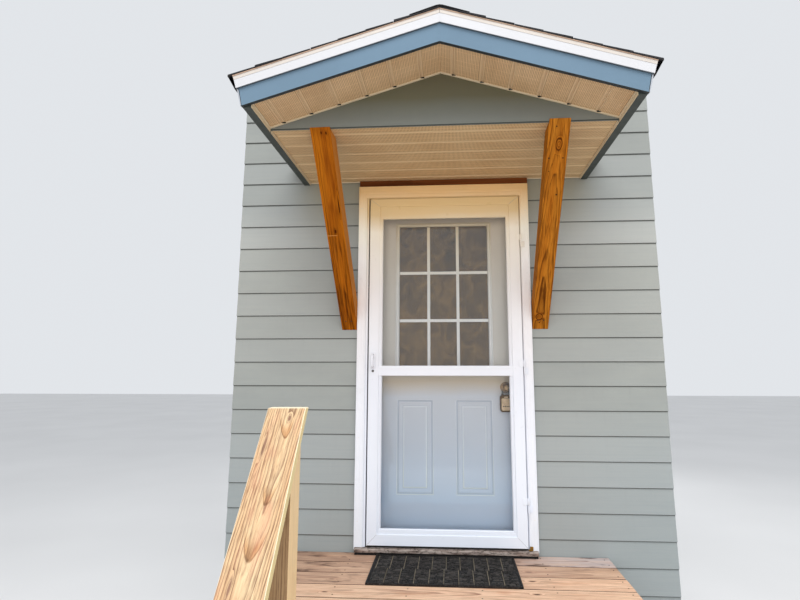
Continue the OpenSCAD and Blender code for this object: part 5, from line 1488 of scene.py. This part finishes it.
# ------------------------------------------------------------------ doormat
a = Acc()
mx0, mx1, my0, my1 = -377.0, 368.0, -435.0, -52.0
box(a, mx0, mx1, my0, my1, D + 0.2, D + 4.6, bev=1.4, seg=2)
box(a, mx0, mx1, my0, my0 + 9, D + 3.5, D + 9.4, bev=2, seg=2)
box(a, mx0, mx1, my1 - 9, my1, D + 3.5, D + 9.4, bev=2, seg=2)
box(a, mx0, mx0 + 9, my0 + 9, my1 - 9, D + 3.5, D + 9.4, bev=2, seg=2)
box(a, mx1 - 9, mx1, my0 + 9, my1 - 9, D + 3.5, D + 9.4, bev=2, seg=2)
rows, cols = 2, 10
gw, gh = (mx1 - mx0 - 26) / cols, (my1 - my0 - 26) / rows
b = Acc()
for r in range(rows):
    ya = my0 + 13 + r * gh
    sh = 0.14 * gw if r % 2 else 0.0
    for c in range(-1, cols + 1):
        xa = max(mx0 + 12, mx0 + 13 + c * gw + sh + 3.0)
        xb = min(mx1 - 12, mx0 + 13 + (c + 1) * gw + sh - 3.0)
        if c >= 0 and mx0 + 20 < mx0 + 13 + c * gw + sh < mx1 - 20:
            x = mx0 + 13 + c * gw + sh
            box(b, x - 1.3, x + 1.3, ya + 2, ya + gh - 2, D + 4.0, D + 9.2, bev=0.7)
        if xb - xa < 12:
            continue
        nrib = 13
        st = (gh - 4.0) / nrib
        for k in range(nrib):
            yb = ya + 2 + k * st
            cuts = sorted([xa, xb] + [rnd.uniform(xa + 8, xb - 8) for _ in range(3 if xb - xa > 40 else 1)])
            for x0, x1 in zip(cuts, cuts[1:]):
                if x1 - x0 > 5:
                    box(a, x0 + 1.0, x1 - 1.0, yb + 1.7, yb + st - 1.7, D + 3.8, D + 7.6 + rnd.uniform(0, 1.9), bev=1.3, sd=rnd.random())
a.obj("mat_body", [MAT["rubber"]], "root", "mat_rubber", "doormat")
b.obj("mat_ridges", [paint("mat_dust_m", (148, 138, 120), rough=0.85, mott=0.3, scale=40)], "root", "mat_rubber")

# ------------------------------------------------------------------ stage, camera, light
bpy.ops.mesh.primitive_plane_add(size=60, location=(0, 0, 0))
floor = bpy.context.object
floor.name = "studio_floor"
ft = NT("floor_m", rough=0.7)
ft.color(ft.mix(ft.rng(ft.noise(ft.obj(), 0.6, 2, 0.5), 0.3, 0.7), (0.66, 0.66, 0.66, 1), (0.70, 0.70, 0.70, 1)))
floor.data.materials.append(ft.mat)

cam = bpy.data.objects.new("camera", bpy.data.cameras.new("camera"))
bpy.context.scene.collection.objects.link(cam)
cam.data.sensor_width = 36.0
cam.data.lens = 23.3277
cam.data.shift_x = -0.0200
cam.data.shift_y = -0.00995
cam.data.clip_end = 200
cam.location = (0.0353, -3.0613, 1.6223)
cam.rotation_euler = (math.radians(90 + 8.421), 0, math.radians(3.7195))
bpy.context.scene.camera = cam


def area(name, loc, target, size, power, color=(1, 1, 1)):
    l = bpy.data.lights.new(name, "AREA")
    l.shape = "RECTANGLE"
    l.size, l.size_y = size
    l.energy = power
    l.color = color
    o = bpy.data.objects.new(name, l)
    bpy.context.scene.collection.objects.link(o)
    o.location = loc
    o.rotation_euler = (Vector(target) - Vector(loc)).to_track_quat("-Z", "Y").to_euler()
    o.visible_glossy = False
    o.visible_camera = False
    return o


area("key", (4.4, -5.6, 4.6), (0.0, 0.0, 1.5), (4.0, 4.0), 40, (1.0, 0.985, 0.955))
area("front", (0.0, -6.0, 1.9), (0.0, 0.0, 1.6), (3.5, 3.0), 86, (1.0, 0.985, 0.96))
area("fill", (-4.4, -5.0, 2.6), (0.0, 0.0, 1.4), (4.0, 4.0), 13.5, (0.97, 0.985, 1.0))
area("top", (0.3, -3.4, 6.6), (0.0, -1.4, 0.6), (5.0, 2.4), 293, (1.0, 0.99, 0.975))
area("back", (1.5, 5.5, 4.2), (0.0, 0.2, 1.6), (4.0, 4.0), 78)
world = bpy.data.worlds.new("studio")
bpy.context.scene.world = world
world.use_nodes = True
wn = world.node_tree
bg = wn.nodes["Background"]
bg.inputs[0].default_value = (0.93, 0.96, 1.0, 1)
bg.inputs[1].default_value = 0.82
bpy.context.scene.view_settings.view_transform = "Standard"
bpy.context.scene.view_settings.look = "None"
bpy.context.scene.view_settings.exposure = 0.0
